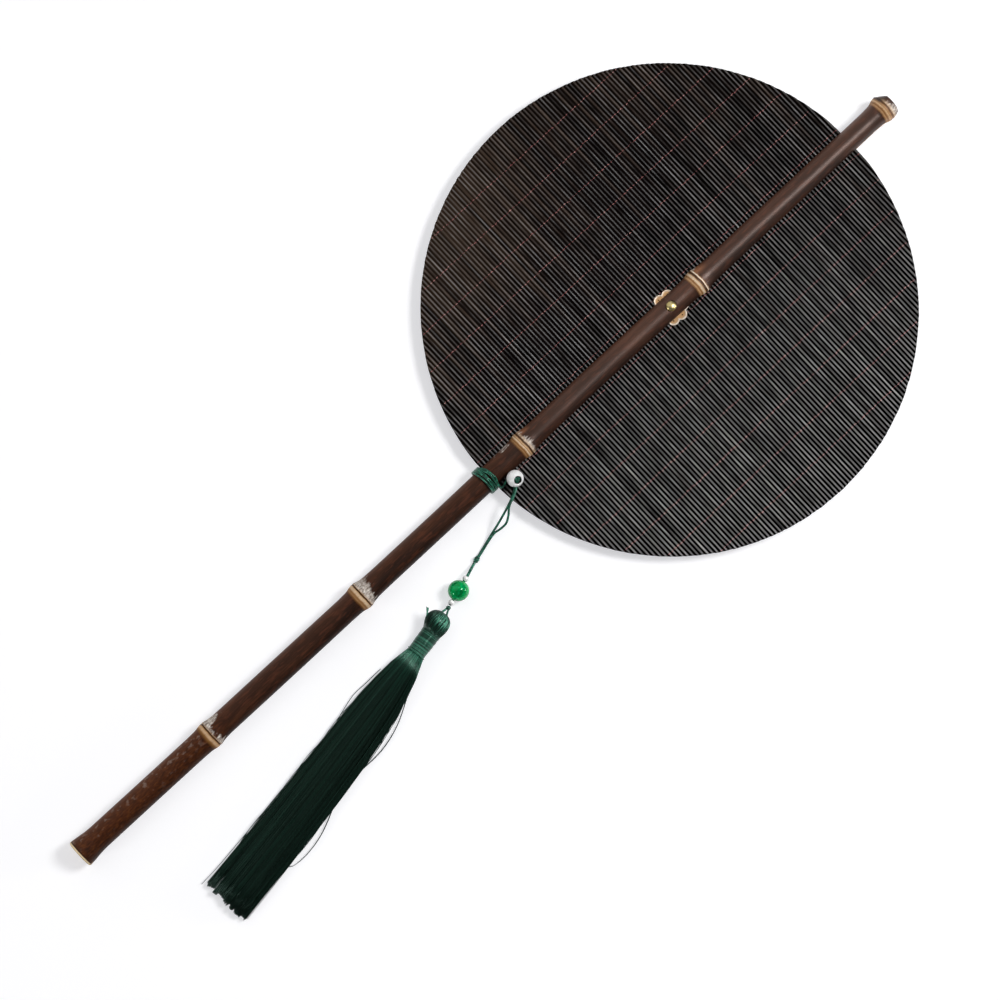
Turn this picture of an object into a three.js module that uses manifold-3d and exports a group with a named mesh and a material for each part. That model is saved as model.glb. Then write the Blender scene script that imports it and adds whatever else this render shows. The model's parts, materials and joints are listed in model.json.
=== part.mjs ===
import * as THREE from "three";
import { mergeVertices } from "three/addons/utils/BufferGeometryUtils.js";
import Module from "manifold-3d";

// A round screen fan: a mat of sewn bamboo slats, riveted in the kerf of a split bamboo handle,
// with a beaded tassel tied on below the mat. It lies on its back on z = 0.
// Millimetres. +Y runs from the butt of the handle to its tip, +Z is the front.

// Culm of the handle, from the butt up: five internodes, and the node that closes each
const gripLength = 81.1;
const gripDiameter = 11.8;
const gripNodeDiameter = 13.4;
const palmLength = 94.2;
const palmDiameter = 11.6;
const palmNodeDiameter = 13.8;
const throatLength = 103.3;
const throatDiameter = 11.4;
const throatNodeDiameter = 13.4;
const pivotLength = 112.1;
const pivotDiameter = 11.4;
const pivotNodeDiameter = 13.2;
const crownLength = 121.7;
const crownDiameter = 11.1;
const crownNodeDiameter = 14.0;
const buttDiameter = 13.8;
const buttChamfer = 0.5;
const tipCapLength = 4.0;
const tipCapDiameter = 12.8;
const tipCapFillet = 1.4;
const tipWearWidth = 4.2;
const tipWearLength = 4.1;
const nodeSwellLength = 10;
const nodeRidgeWidth = 1.6;
const nodeRidgeDrop = 0.3;
const nodeGrooveWidth = 0.8;
const nodeGrooveDepth = 0.5;
const culmWall = 2.6;
const culmSeptum = 6;
const culmBow = 0.9;
const culmSides = 20;

// Mat of slats
const matRadius = 117;
const matThickness = 1.8;
const matTipMargin = 22.9;
const slatPitch = 1.88;
const slatCrownWidth = 1.0;
const slatGrooveDepth = 0.5;
const matRimFacets = 96;

// Rivet through handle, washers and mat
const rivetShankDiameter = 2;
const rivetHeadDiameter = 5;
const rivetHeadHeight = 1.7;
const rivetCapHeight = 1.1;
const rivetCapGrip = 0.7;
const rivetSeatDepth = 0.6;
const washerThickness = 0.5;
const washerLobes = 8;
const washerLobeRadius = 2.86;
const washerLobeCircle = 11.6;
const washerPitDiameter = 1.1;
const washerPitCircle = 13;
const washerTurn = THREE.MathUtils.degToRad(15.6);

// Cord, beads and tassel
const cordDiameter = 1.0;
const stemDiameter = 1.4;
const bindingCordDiameter = 1.0;
const bindingTurns = 4;
const bindingLean = 0.1;
const silverDiameter = 8;
const silverBore = 3.6;
const silverTilt = THREE.MathUtils.degToRad(17);
const silverTiltWay = THREE.MathUtils.degToRad(20);
const silverX = 9.45;
const silverInset = 8.15;
const beadKnotDiameter = 2.9;
const cordKnotDiameter = 2.8;
const cordKnotLength = 3.8;
const jadeDiameter = 10;
const spacerDiameter = 3;
const beadBore = 1.7;
const loopLength = 4.0;
const loopWidth = 2.6;
const loopCordDiameter = 0.8;
const headDiameter = 12.2;
const headLength = 10.5;
const neckDiameter = 9.2;
const neckLength = 11.7;
const neckOffset = 0.7;
const skirtLength = 144.8;
const skirtWidth = 24.4;
const skirtThickness = 4.8;
const skirtSpreadLength = 22;

// Fits
const cutGap = 0.3;
const slideGap = 0.15;

// Places that follow from the sizes
const internodes = [
  { length: gripLength, diameter: gripDiameter, nodeDiameter: gripNodeDiameter },
  { length: palmLength, diameter: palmDiameter, nodeDiameter: palmNodeDiameter },
  { length: throatLength, diameter: throatDiameter, nodeDiameter: throatNodeDiameter },
  { length: pivotLength, diameter: pivotDiameter, nodeDiameter: pivotNodeDiameter },
  { length: crownLength, diameter: crownDiameter, nodeDiameter: crownNodeDiameter },
];
const culmLength = internodes.reduce((sum, part) => sum + part.length, tipCapLength);
const buttY = -culmLength / 2;
const tipY = culmLength / 2;
const nodeYs = internodes.map((part, i) =>
  internodes.slice(0, i + 1).reduce((sum, below) => sum + below.length, buttY));
const largestDiameter = Math.max(buttDiameter, ...internodes.map((part) => part.nodeDiameter));
const matY = tipY - tipCapLength - matTipMargin - matRadius;
const matEdgeY = matY - matRadius;
const kerfWidth = matThickness + 2 * (washerThickness + 2 * slideGap);
const kerfEndY = matEdgeY - cutGap;
const bindingPitch = bindingCordDiameter + slideGap / 2;
const bindingWidth = bindingTurns * bindingPitch + bindingCordDiameter;
const bindingY = kerfEndY - bindingWidth / 2;
const bindingRadius = culmRadiusAt(bindingY) + cutGap + bindingCordDiameter / 2;
const axisZ = Math.max(largestDiameter / 2, bindingRadius + bindingCordDiameter / 2);
const matTopZ = axisZ + matThickness / 2;

const wasm = await Module();
wasm.setup();

function solidOf(geometry) {
  const bare = new THREE.BufferGeometry();
  bare.setAttribute("position", geometry.getAttribute("position"));
  bare.setIndex(geometry.index);
  const merged = mergeVertices(bare, 1e-4);
  return new wasm.Manifold(new wasm.Mesh({
    numProp: 3,
    vertProperties: merged.getAttribute("position").array,
    triVerts: new Uint32Array(merged.index.array),
  }));
}

function geometryOf(solid) {
  const mesh = solid.getMesh();
  const geometry = new THREE.BufferGeometry();
  geometry.setAttribute("position", new THREE.BufferAttribute(mesh.vertProperties, 3));
  geometry.setIndex(new THREE.BufferAttribute(mesh.triVerts, 1));
  geometry.computeVertexNormals();
  return geometry;
}

function cut(geometry, tools) {
  const left = tools.reduce((solid, tool) => solid.subtract(solidOf(tool)), solidOf(geometry));
  return geometryOf(left);
}

function revolve(profile, sides) {
  return new THREE.LatheGeometry(profile.map(([r, y]) => new THREE.Vector2(r, y)), sides);
}

// A rod along Z between two heights.
function rodZ(diameter, z0, z1, sides = 16) {
  const rod = new THREE.CylinderGeometry(diameter / 2, diameter / 2, z1 - z0, sides);
  return rod.rotateX(Math.PI / 2).translate(0, 0, (z0 + z1) / 2);
}

function roundSection(diameter) {
  const section = new THREE.Shape();
  section.absarc(0, 0, diameter / 2, 0, 2 * Math.PI);
  return section;
}

// A cord of eight sides along points, with closed ends.
function cordAlong(points, diameter, steps) {
  const route = new THREE.CatmullRomCurve3(points.map((p) => new THREE.Vector3(...p)));
  return new THREE.ExtrudeGeometry(roundSection(diameter), {
    steps,
    curveSegments: 4,
    extrudePath: route,
    bevelEnabled: false,
  });
}

// Radius and height of the culm's outline around one node: swelling, sheath ridge, groove, upper ridge.
function nodeOutline(y, nodeRadius, below, above) {
  const inner = nodeGrooveWidth / 2;
  const outer = inner + nodeRidgeWidth;
  const middle = (inner + outer) / 2;
  const foot = nodeSwellLength * 0.45;
  const lowFoot = below + 0.25 * (nodeRadius - below);
  const highFoot = above + 0.25 * (nodeRadius - above);
  return [
    [below, y - nodeSwellLength],
    [lowFoot, y - foot],
    [nodeRadius - nodeRidgeDrop, y - outer],
    [nodeRadius, y - middle],
    [nodeRadius - nodeRidgeDrop / 2, y - inner],
    [nodeRadius - nodeGrooveDepth, y - inner / 2],
    [nodeRadius - nodeGrooveDepth, y + inner / 2],
    [nodeRadius - nodeRidgeDrop / 2, y + inner],
    [nodeRadius - nodeRidgeDrop / 4, y + middle],
    [nodeRadius - nodeRidgeDrop, y + outer],
    [highFoot, y + foot],
    [above, y + nodeSwellLength],
  ];
}

function buttOutline() {
  const radius = buttDiameter / 2;
  return [
    [0, buttY],
    [radius - buttChamfer, buttY],
    [radius, buttY + buttChamfer],
    [radius, buttY + nodeRidgeWidth],
    [internodes[0].diameter / 2, buttY + nodeSwellLength],
  ];
}

// The cap above the last node: a short stub with a flat top, its edge rounded as far as the node allows.
function tipOutline() {
  const radius = tipCapDiameter / 2;
  const nodeReach = nodeGrooveWidth / 2 + nodeRidgeWidth;
  const fillet = Math.min(tipCapFillet, 0.8 * (tipCapLength - nodeReach));
  const arcSteps = 3;
  const points = [];
  for (let i = 0; i <= arcSteps; i++) {
    const angle = (i / arcSteps) * Math.PI / 2;
    points.push([
      radius - fillet * (1 - Math.cos(angle)),
      tipY - fillet * (1 - Math.sin(angle)),
    ]);
  }
  points.push([0, tipY]);
  return points;
}

function culmOutline() {
  const points = buttOutline();
  internodes.forEach((part, i) => {
    const next = internodes[i + 1];
    const above = next ? next.diameter / 2 : tipCapDiameter / 2;
    const outline = nodeOutline(nodeYs[i], part.nodeDiameter / 2, part.diameter / 2, above);
    points.push(...(next ? outline : outline.slice(0, -2)));
  });
  return [...points, ...tipOutline()];
}

function culmRadiusAt(y) {
  const outline = culmOutline();
  const i = outline.findIndex(([, height], k) => k > 0 && height >= y && outline[k - 1][1] < y);
  const [r0, y0] = outline[i - 1];
  const [r1, y1] = outline[i];
  return r0 + (r1 - r0) * (y - y0) / (y1 - y0);
}

// The culm is bent a little to +X in the middle, and straight where the rivet passes.
function bowAt(y) {
  const share = (at) => culmBow * (at / tipY) ** 2;
  return share(matY) - share(y);
}

function bend(geometry) {
  const position = geometry.getAttribute("position");
  for (let i = 0; i < position.count; i++) {
    position.setX(i, position.getX(i) + bowAt(position.getY(i)));
  }
  return geometry;
}

// The hollow of one internode, closed by a septum at each node.
function hollow(y0, y1, diameter) {
  const radius = diameter / 2 - culmWall;
  const taper = radius / 2;
  return bend(revolve([[0, y0], [radius, y0 + taper], [radius, y1 - taper], [0, y1]], 12));
}

// Internodes that the saw opens, at the butt or along the kerf, are hollow.
function openHollows() {
  const tools = [];
  internodes.forEach((part, i) => {
    const floor = i === 0 ? buttY - culmSeptum : nodeYs[i - 1] + culmSeptum / 2;
    const roof = nodeYs[i] - culmSeptum / 2;
    if (i === 0 || roof > kerfEndY) tools.push(hollow(floor, roof, part.diameter));
  });
  return tools;
}

// The wedge that wear has taken off the tip, slantwise on its -X side. It runs on well beyond the culm.
function tipWear() {
  const left = bowAt(tipY) - tipCapDiameter / 2;
  const outX = 2 * tipWearWidth;
  const outY = 2 * tipWearLength;
  const section = new THREE.Shape([
    new THREE.Vector2(left - outX, tipY - tipWearLength - outY),
    new THREE.Vector2(left + tipWearWidth + outX, tipY + outY),
    new THREE.Vector2(left - outX, tipY + outY),
  ]);
  const wedge = new THREE.ExtrudeGeometry(section, { depth: 2 * largestDiameter, bevelEnabled: false });
  return wedge.translate(0, 0, -largestDiameter);
}

function handleCulm() {
  const outer = bend(revolve(culmOutline(), culmSides));
  const kerf = new THREE.BoxGeometry(2 * largestDiameter, tipY - kerfEndY + culmSeptum, kerfWidth);
  kerf.translate(0, (tipY + kerfEndY + culmSeptum) / 2, 0);
  const rivetRadius = culmRadiusAt(matY);
  const shankHole = rodZ(rivetShankDiameter + 2 * cutGap, -largestDiameter, largestDiameter);
  const seat = rivetHeadDiameter + 2 * cutGap;
  const frontSeat = rodZ(seat, rivetRadius - rivetSeatDepth, largestDiameter, 20);
  const rearSeat = rodZ(seat, -largestDiameter, rivetSeatDepth - rivetRadius, 20);
  const drilled = [shankHole, frontSeat, rearSeat].map((tool) => tool.translate(0, matY, 0));
  return cut(outer, [kerf, tipWear(), ...drilled, ...openHollows()]);
}

// Slats lie edge to edge, each with a flat crown between two grooves, and are cut to a circle.
function slattedMat() {
  const count = 2 * Math.ceil(matRadius / slatPitch);
  const first = -count * slatPitch / 2;
  const crown = matThickness / 2;
  const groove = crown - slatGrooveDepth;
  const shoulder = (slatPitch - slatCrownWidth) / 2;
  const top = [];
  for (let i = 0; i < count; i++) {
    const edge = first + i * slatPitch;
    top.push([edge, groove], [edge + shoulder, crown], [edge + shoulder + slatCrownWidth, crown]);
  }
  top.push([-first, groove]);
  const bottom = top.map(([y, z]) => [y, -z]).reverse();
  const section = new THREE.Shape([...top, ...bottom].map(([y, z]) => new THREE.Vector2(y, z)));
  const slats = new THREE.ExtrudeGeometry(section, { depth: -2 * first, bevelEnabled: false });
  const axisX = new THREE.Vector3(1, 0, 0);
  const axisY = new THREE.Vector3(0, 1, 0);
  const axisZ = new THREE.Vector3(0, 0, 1);
  slats.applyMatrix4(new THREE.Matrix4().makeBasis(axisY, axisZ, axisX)).translate(first, 0, 0);
  const rim = rodZ(2 * matRadius, -matThickness, matThickness, matRimFacets);
  const hole = rodZ(rivetShankDiameter + 2 * cutGap, -matThickness, matThickness);
  return geometryOf(solidOf(slats).intersect(solidOf(rim)).subtract(solidOf(hole)));
}

// A stamped flower plate: lobes round the edge, a pit pierced in each, and the rivet's hole.
function flowerWasher() {
  const centre = washerLobeCircle / 2;
  const half = Math.PI / washerLobes;
  const notch = centre * Math.cos(half) + Math.sqrt(washerLobeRadius ** 2 - (centre * Math.sin(half)) ** 2);
  const sweep = Math.atan2(notch * Math.sin(half), notch * Math.cos(half) - centre);
  const plate = new THREE.Shape();
  for (let i = 0; i < washerLobes; i++) {
    const angle = washerTurn + 2 * half * i;
    const x = centre * Math.cos(angle);
    const y = centre * Math.sin(angle);
    plate.absarc(x, y, washerLobeRadius, angle - sweep, angle + sweep);
    const pit = new THREE.Path();
    const reach = washerPitCircle / 2;
    pit.absarc(reach * Math.cos(angle), reach * Math.sin(angle), washerPitDiameter / 2, 0, 2 * Math.PI);
    plate.holes.push(pit);
  }
  const eye = new THREE.Path();
  eye.absarc(0, 0, rivetShankDiameter / 2 + cutGap, 0, 2 * Math.PI);
  plate.holes.push(eye);
  const geometry = new THREE.ExtrudeGeometry(plate, {
    depth: washerThickness,
    curveSegments: 3,
    bevelEnabled: false,
  });
  return geometry.translate(0, 0, -washerThickness / 2);
}

// Half the outline of a domed head whose flat side lies at height 0.
function domeOutline(diameter, height, steps = 5) {
  const points = [];
  for (let i = 0; i < steps; i++) {
    const angle = (i / steps) * Math.PI / 2;
    points.push([diameter / 2 * Math.cos(angle), height * Math.sin(angle)]);
  }
  return [...points, [0, height]];
}

// Head and shank in one, along Z from the front seat to the rear cap.
function rivet(seatHeight) {
  const shank = rivetShankDiameter / 2;
  const end = -seatHeight - rivetCapGrip;
  const dome = domeOutline(rivetHeadDiameter, rivetHeadHeight).map(([r, z]) => [r, z + seatHeight]);
  return revolve([[0, end], [shank, end], [shank, seatHeight], ...dome], 20).rotateX(Math.PI / 2);
}

function rivetCap() {
  const socket = rivetShankDiameter / 2 + slideGap;
  const depth = rivetCapGrip + slideGap;
  const cap = [[0, depth], [socket, depth], [socket, 0], ...domeOutline(rivetHeadDiameter, rivetCapHeight)];
  return revolve(cap, 20).rotateX(-Math.PI / 2);
}

// The cord is wound round the culm just below the mat, leaning up a little at the front.
// It leaves the culm at its side, and its end runs over the edge of the mat to the stop bead.
function bindingCord() {
  const stepsPerTurn = 14;
  const lastStep = bindingTurns * stepsPerTurn + 3;
  const points = [];
  for (let i = 0; i <= lastStep; i++) {
    const turns = i / stepsPerTurn;
    const angle = 2 * Math.PI * turns;
    const z = bindingRadius * Math.cos(angle);
    const y = bindingY + (turns - bindingTurns / 2) * bindingPitch + bindingLean * z;
    points.push([bowAt(y) + bindingRadius * Math.sin(angle), y, axisZ + z]);
  }
  const tail = [[7.3, 0.7, 1.25], [7.75, 2.1, 1.2], [7.4, 3.8, 1.15], [7.0, 5.3, 1.1], [7.2, 6.6, 1.1]];
  points.push(...tail.map(([x, y, z]) => [x, y + matEdgeY, z + matTopZ]));
  return cordAlong(points, bindingCordDiameter, points.length + 3);
}

function ball(diameter, widthSegments = 16, heightSegments = 12) {
  return new THREE.SphereGeometry(diameter / 2, widthSegments, heightSegments);
}

// Half the length of a bead's bore.
function boreReach(diameter, bore) {
  return Math.sqrt((diameter / 2) ** 2 - (bore / 2) ** 2);
}

// A round bead bored along its own Y.
function boredBead(diameter, bore, sides = 20) {
  const radius = diameter / 2;
  const mouth = boreReach(diameter, bore);
  const start = Math.acos(mouth / radius);
  const steps = 10;
  const profile = [[bore / 2, -mouth]];
  for (let i = 1; i < steps; i++) {
    const angle = start + (Math.PI - 2 * start) * (i / steps);
    profile.push([radius * Math.sin(angle), -radius * Math.cos(angle)]);
  }
  profile.push([bore / 2, mouth], [bore / 2, -mouth]);
  return revolve(profile, sides);
}

// The loop that the tassel hangs on, an oblong ring along Y.
function tasselLoop() {
  const ring = new THREE.TorusGeometry((loopWidth - loopCordDiameter) / 2, loopCordDiameter / 2, 8, 20);
  return ring.scale(1, loopLength / loopWidth, 1);
}

// The tassel's head, an oblong ball along Y with flat ends where the loop and the neck meet it.
function tasselHead() {
  const steps = 8;
  const profile = [[0, -headLength / 2]];
  const from = Math.asin(neckDiameter / headDiameter);
  const to = Math.PI - Math.asin(loopWidth / headDiameter);
  const low = headLength / 2 / Math.cos(from);
  const high = headLength / 2 / -Math.cos(to);
  for (let i = 0; i <= steps; i++) {
    const angle = from + (to - from) * (i / steps);
    const reach = Math.cos(angle) > 0 ? low : high;
    profile.push([headDiameter / 2 * Math.sin(angle), -reach * Math.cos(angle)]);
  }
  profile.push([0, headLength / 2]);
  return revolve(profile, 20);
}

// The neck, a band of windings along Y with a rounded edge at both ends.
function tasselNeck() {
  const radius = neckDiameter / 2;
  const half = neckLength / 2;
  const edge = bindingCordDiameter / 2;
  const profile = [[0, -half], [radius - edge, -half], [radius, edge - half]];
  profile.push([radius, half - edge], [radius - edge, half], [0, half]);
  return revolve(profile, 20);
}

// The skirt, a lofted sheaf of threads along -Y from the neck: it spreads wide and sinks to the table.
// It leaves the neck off its own line, and comes back to that line as it spreads.
function tasselSkirt(neckZ) {
  const rows = 16;
  const sheaf = new THREE.CylinderGeometry(0.5, 0.5, skirtLength, 20, rows);
  sheaf.translate(0, -skirtLength / 2, 0);
  const position = sheaf.getAttribute("position");
  for (let i = 0; i < position.count; i++) {
    const y = position.getY(i);
    const bound = Math.exp(y / skirtSpreadLength);
    const width = THREE.MathUtils.lerp(skirtWidth, neckDiameter, bound);
    const thickness = THREE.MathUtils.lerp(skirtThickness, neckDiameter, bound);
    const middle = THREE.MathUtils.lerp(skirtThickness / 2, neckZ, bound);
    position.setX(i, position.getX(i) * width + neckOffset * bound);
    position.setZ(i, position.getZ(i) * thickness + middle);
  }
  return sheaf;
}

const finishes = {
  culm: { color: 0x3a2418, roughness: 0.35, metalness: 0 },
  slat: { color: 0x241d1a, roughness: 0.5, metalness: 0 },
  brass: { color: 0xc9a04a, roughness: 0.25, metalness: 1 },
  washer: { color: 0xc4a47c, roughness: 0.4, metalness: 1 },
  cord: { color: 0x1f5a45, roughness: 0.7, metalness: 0 },
  silver: { color: 0xe4e4e6, roughness: 0.15, metalness: 1 },
  jade: { color: 0x0f9a4a, roughness: 0.1, metalness: 0 },
  thread: { color: 0x0f3a2c, roughness: 0.6, metalness: 0 },
};
const materials = Object.fromEntries(
  Object.entries(finishes).map(([name, finish]) => [name, new THREE.MeshStandardMaterial(finish)]));

const fan = new THREE.Group();

function place(parent, name, geometry, finish, position = [0, 0, 0]) {
  const mesh = new THREE.Mesh(geometry, materials[finish]);
  mesh.name = name;
  mesh.position.set(...position);
  parent.add(mesh);
  return mesh;
}

place(fan, "handle_culm", handleCulm(), "culm", [0, 0, axisZ]);
place(fan, "panel_mat", slattedMat(), "slat", [0, matY, axisZ]);
const washerOffset = matThickness / 2 + slideGap + washerThickness / 2;
place(fan, "front_washer", flowerWasher(), "washer", [0, matY, axisZ + washerOffset]);
place(fan, "rear_washer", flowerWasher(), "washer", [0, matY, axisZ - washerOffset]);
const seatHeight = culmRadiusAt(matY) - rivetSeatDepth + slideGap;
place(fan, "pivot_rivet", rivet(seatHeight), "brass", [0, matY, axisZ]);
place(fan, "rivet_cap", rivetCap(), "brass", [0, matY, axisZ - seatHeight]);
place(fan, "binding_cord", bindingCord(), "cord");

// The pendant lies from the edge of the mat down to the table, so its points start at that edge.
const pendant = new THREE.Group();
pendant.position.y = matEdgeY;
fan.add(pendant);

// The silver bead rests on the strands, its bore turned up, with a knot in the upper mouth.
const silverPlace = [silverX, silverInset, matTopZ + silverDiameter / 2 + cordDiameter + 2 * cutGap];
const silverUp = new THREE.Vector3(
  Math.sin(silverTilt) * Math.cos(silverTiltWay),
  Math.sin(silverTilt) * Math.sin(silverTiltWay),
  Math.cos(silverTilt),
);
const silver = new THREE.Group();
silver.position.set(...silverPlace);
silver.quaternion.setFromUnitVectors(new THREE.Vector3(0, 1, 0), silverUp);
pendant.add(silver);
place(silver, "silver_bead", boredBead(silverDiameter, silverBore), "silver");
const beadKnotRise = (silverDiameter - beadKnotDiameter) / 2;
place(silver, "bead_knot", ball(beadKnotDiameter, 12, 8), "cord", [0, beadKnotRise, 0]);

// Two strands run from the silver bead's bore, part, and come together above the knot.
const leftStrand = [
  [8.7, 7.45, 11.9], [8.3, 7.25, 10.4], [8.9, 6.75, 9.1], [10.7, 6.1, 8.8], [12.4, 5.0, 8.8],
  [14.0, 2.3, 8.8], [15.95, -2.4, 8.8], [17.2, -5.4, 8.4], [18.4, -9.0, 7.0], [19.3, -12.2, 5.0],
  [20.0, -16.0, 3.0], [21.1, -20.6, 1.5], [22.2, -24.6, 1.1], [23.05, -27.5, 1.1],
];
const rightStrand = [
  [9.2, 8.65, 11.9], [8.8, 8.45, 10.4], [9.5, 7.95, 9.1], [11.3, 7.15, 8.8], [13.3, 5.85, 8.8],
  [15.1, 2.8, 8.8], [17.1, -1.9, 8.8], [19.9, -5.4, 8.5], [21.5, -8.6, 7.0], [21.5, -12.2, 5.0],
  [21.2, -15.6, 3.2], [22.25, -20.3, 1.6], [23.35, -24.3, 1.1], [24.15, -27.2, 1.1],
];
place(pendant, "left_strand", cordAlong(leftStrand, cordDiameter, 28), "cord");
place(pendant, "right_strand", cordAlong(rightStrand, cordDiameter, 28), "cord");

// Knot, spacers and jade bead lie on the table in one line, threaded on the stem of the cord.
const beadTurn = THREE.MathUtils.degToRad(16);
const beadZ = jadeDiameter / 2;
const knotPlace = [24.2, -29.7, cordKnotDiameter / 2];
const jadePlace = [29.23, -45.98, beadZ];
const spacerOffset = boreReach(jadeDiameter, beadBore) + boreReach(spacerDiameter, beadBore) + cutGap;
const stemReach = spacerOffset + spacerDiameter / 2;
const stemLead = 1;
const onStem = (reach) => [
  jadePlace[0] + reach * Math.sin(beadTurn),
  jadePlace[1] - reach * Math.cos(beadTurn),
  beadZ,
];
const cordKnot = place(pendant, "cord_knot", ball(1, 14, 10), "cord", knotPlace);
cordKnot.scale.set(cordKnotDiameter, cordKnotLength, cordKnotDiameter);
cordKnot.rotation.z = beadTurn;
const beads = new THREE.Group();
beads.position.set(...jadePlace);
beads.rotation.z = beadTurn;
pendant.add(beads);
place(beads, "jade_bead", boredBead(jadeDiameter, beadBore), "jade");
place(beads, "upper_spacer", boredBead(spacerDiameter, beadBore, 14), "silver", [0, spacerOffset, 0]);
place(beads, "lower_spacer", boredBead(spacerDiameter, beadBore, 14), "silver", [0, -spacerOffset, 0]);
const stem = [
  [24.85, -31.95, 1.6], [25.5, -33.9, 2.5], [26.2, -35.9, 4.2], onStem(-stemReach - stemLead),
  onStem(-stemReach), onStem(-spacerOffset), onStem(0), onStem(spacerOffset), onStem(stemReach),
];
place(pendant, "stem_cord", cordAlong(stem, stemDiameter, 16), "cord");

// The tassel hangs on its loop below the lower spacer, in a line of its own.
const tasselTurn = THREE.MathUtils.degToRad(9.9);
const tassel = new THREE.Group();
const [loopX, loopY] = onStem(stemReach + cutGap + loopLength / 2);
tassel.position.set(loopX, loopY, 0);
tassel.rotation.z = tasselTurn;
pendant.add(tassel);
const headY = -(loopLength + headLength) / 2 - cutGap;
const neckY = headY - (headLength + neckLength) / 2 - cutGap;
const skirtY = neckY - neckLength / 2 - cutGap;
const neckZ = (headDiameter + neckDiameter) / 4;
place(tassel, "tassel_loop", tasselLoop(), "cord", [0, 0, beadZ]);
place(tassel, "tassel_head", tasselHead(), "thread", [0, headY, headDiameter / 2]);
place(tassel, "tassel_neck", tasselNeck(), "thread", [neckOffset, neckY, neckZ]);
place(tassel, "tassel_skirt", tasselSkirt(neckZ), "thread", [0, skirtY, 0]);

export default fan;
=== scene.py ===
# %% [markdown]
# A round bamboo screen fan
# This lesson dresses the CAD model of a fan: a mat of dark slats, riveted into a split bamboo handle,
# with a beaded tassel. The CAD model could be painted as it is, but it is faceted, and a mat of real
# slats or a sheaf of silk threads is too fine for it. So each CAD node is kept as the measure of place
# and size, and a finer piece stands for it.

# %% Load the frame
import json
import math

import bmesh
import bpy
import numpy as np
from mathutils import Matrix, Vector

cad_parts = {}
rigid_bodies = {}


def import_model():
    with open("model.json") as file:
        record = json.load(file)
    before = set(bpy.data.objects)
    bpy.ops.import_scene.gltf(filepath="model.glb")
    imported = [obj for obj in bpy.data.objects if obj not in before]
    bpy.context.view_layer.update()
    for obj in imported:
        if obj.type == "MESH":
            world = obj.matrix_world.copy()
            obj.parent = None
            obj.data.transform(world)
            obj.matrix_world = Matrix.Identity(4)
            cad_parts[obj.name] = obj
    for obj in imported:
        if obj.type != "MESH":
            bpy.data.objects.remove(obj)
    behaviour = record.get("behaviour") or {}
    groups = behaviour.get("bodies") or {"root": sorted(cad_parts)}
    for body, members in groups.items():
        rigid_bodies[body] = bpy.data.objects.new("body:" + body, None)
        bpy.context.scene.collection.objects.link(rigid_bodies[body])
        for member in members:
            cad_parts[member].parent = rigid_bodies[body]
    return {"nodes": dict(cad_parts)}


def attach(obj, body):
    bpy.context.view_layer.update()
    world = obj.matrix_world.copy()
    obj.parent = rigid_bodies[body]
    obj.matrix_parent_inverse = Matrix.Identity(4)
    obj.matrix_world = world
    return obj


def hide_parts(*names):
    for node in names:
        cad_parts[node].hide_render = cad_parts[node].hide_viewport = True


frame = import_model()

scene = bpy.context.scene
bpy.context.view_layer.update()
MM = 0.001  # the frame is in metres, and the sizes below are in millimetres
print("CAD nodes:", ", ".join(sorted(frame["nodes"])))

# %% [markdown]
# The camera stands where the photographer stood: about one and a half metres above the table, a little to
# the side, with the picture turned so that the handle runs from corner to corner. A camera can be turned
# by Euler angles, but a place, an aim point and the direction of the picture's upper edge are easier to
# read and check.

# %% Camera
picture_pixels = 1000
focal_pixels = 3211.8
camera_place = Vector((93.89, -148.39, 1489.84)) * MM
aim_point = Vector((11.25, -5.23, 0.0)) * MM
picture_up_turn = math.radians(136.85)

back = (camera_place - aim_point).normalized()
picture_up = Vector((math.cos(picture_up_turn), math.sin(picture_up_turn), 0.0))
right = picture_up.cross(back).normalized()
picture_axes = Matrix((right, back.cross(right), back)).transposed()

lens = bpy.data.cameras.new("table_camera")
lens.lens = lens.sensor_width * focal_pixels / picture_pixels
camera = bpy.data.objects.new("table_camera", lens)
camera.matrix_world = Matrix.Translation(camera_place) @ picture_axes.to_4x4()
scene.collection.objects.link(camera)
scene.camera = camera
scene.view_settings.view_transform = "Standard"
print(f"camera: {lens.lens:.1f} mm lens, {(camera_place - aim_point).length:.3f} m away")

# %% [markdown]
# Colours are easiest to pick as sRGB hex values, while shaders work in linear light, so one function
# turns them over. One more function adds a node: its settings, the values of its sockets and its links in
# one call.

# %% Colours and nodes
def linear(hex_colour):
    """The linear RGBA of an sRGB hex colour."""
    srgb = [int(hex_colour[i:i + 2], 16) / 255 for i in (1, 3, 5)]
    return (*[c / 12.92 if c <= 0.04045 else ((c + 0.055) / 1.055) ** 2.4 for c in srgb], 1.0)


def add_node(tree, kind, sockets=None, stops=None, **settings):
    """Adds a node. A socket's value may be a number, a hex colour or the output that it is linked to."""
    made = tree.nodes.new("ShaderNode" + kind)
    for name, value in settings.items():
        setattr(made, name, value)
    for name, value in (sockets or {}).items():
        if isinstance(value, bpy.types.NodeSocket):
            tree.links.new(value, made.inputs[name])
        else:
            made.inputs[name].default_value = linear(value) if isinstance(value, str) else value
    if stops:
        ramp = made.color_ramp
        while len(ramp.elements) < len(stops):
            ramp.elements.new(1.0)
        for element, (place, colour) in zip(ramp.elements, stops):
            element.position = place
            element.color = linear(colour)
    return made


def new_material(name):
    """A material without nodes, and its node tree."""
    material = bpy.data.materials.new(name)
    material.use_nodes = True
    material.node_tree.nodes.clear()
    return material, material.node_tree


def per_mm(*sizes):
    """How often a pattern repeats in a metre, for features of these sizes in millimetres."""
    return tuple(1 / (size * MM) for size in sizes)


FACTOR, COLOUR_A, COLOUR_B, MIXED = 0, 6, 7, 2  # a colour Mix node's sockets, which share their names
print("a mid grey is", round(linear("#808080")[0], 3), "in linear light")

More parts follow.
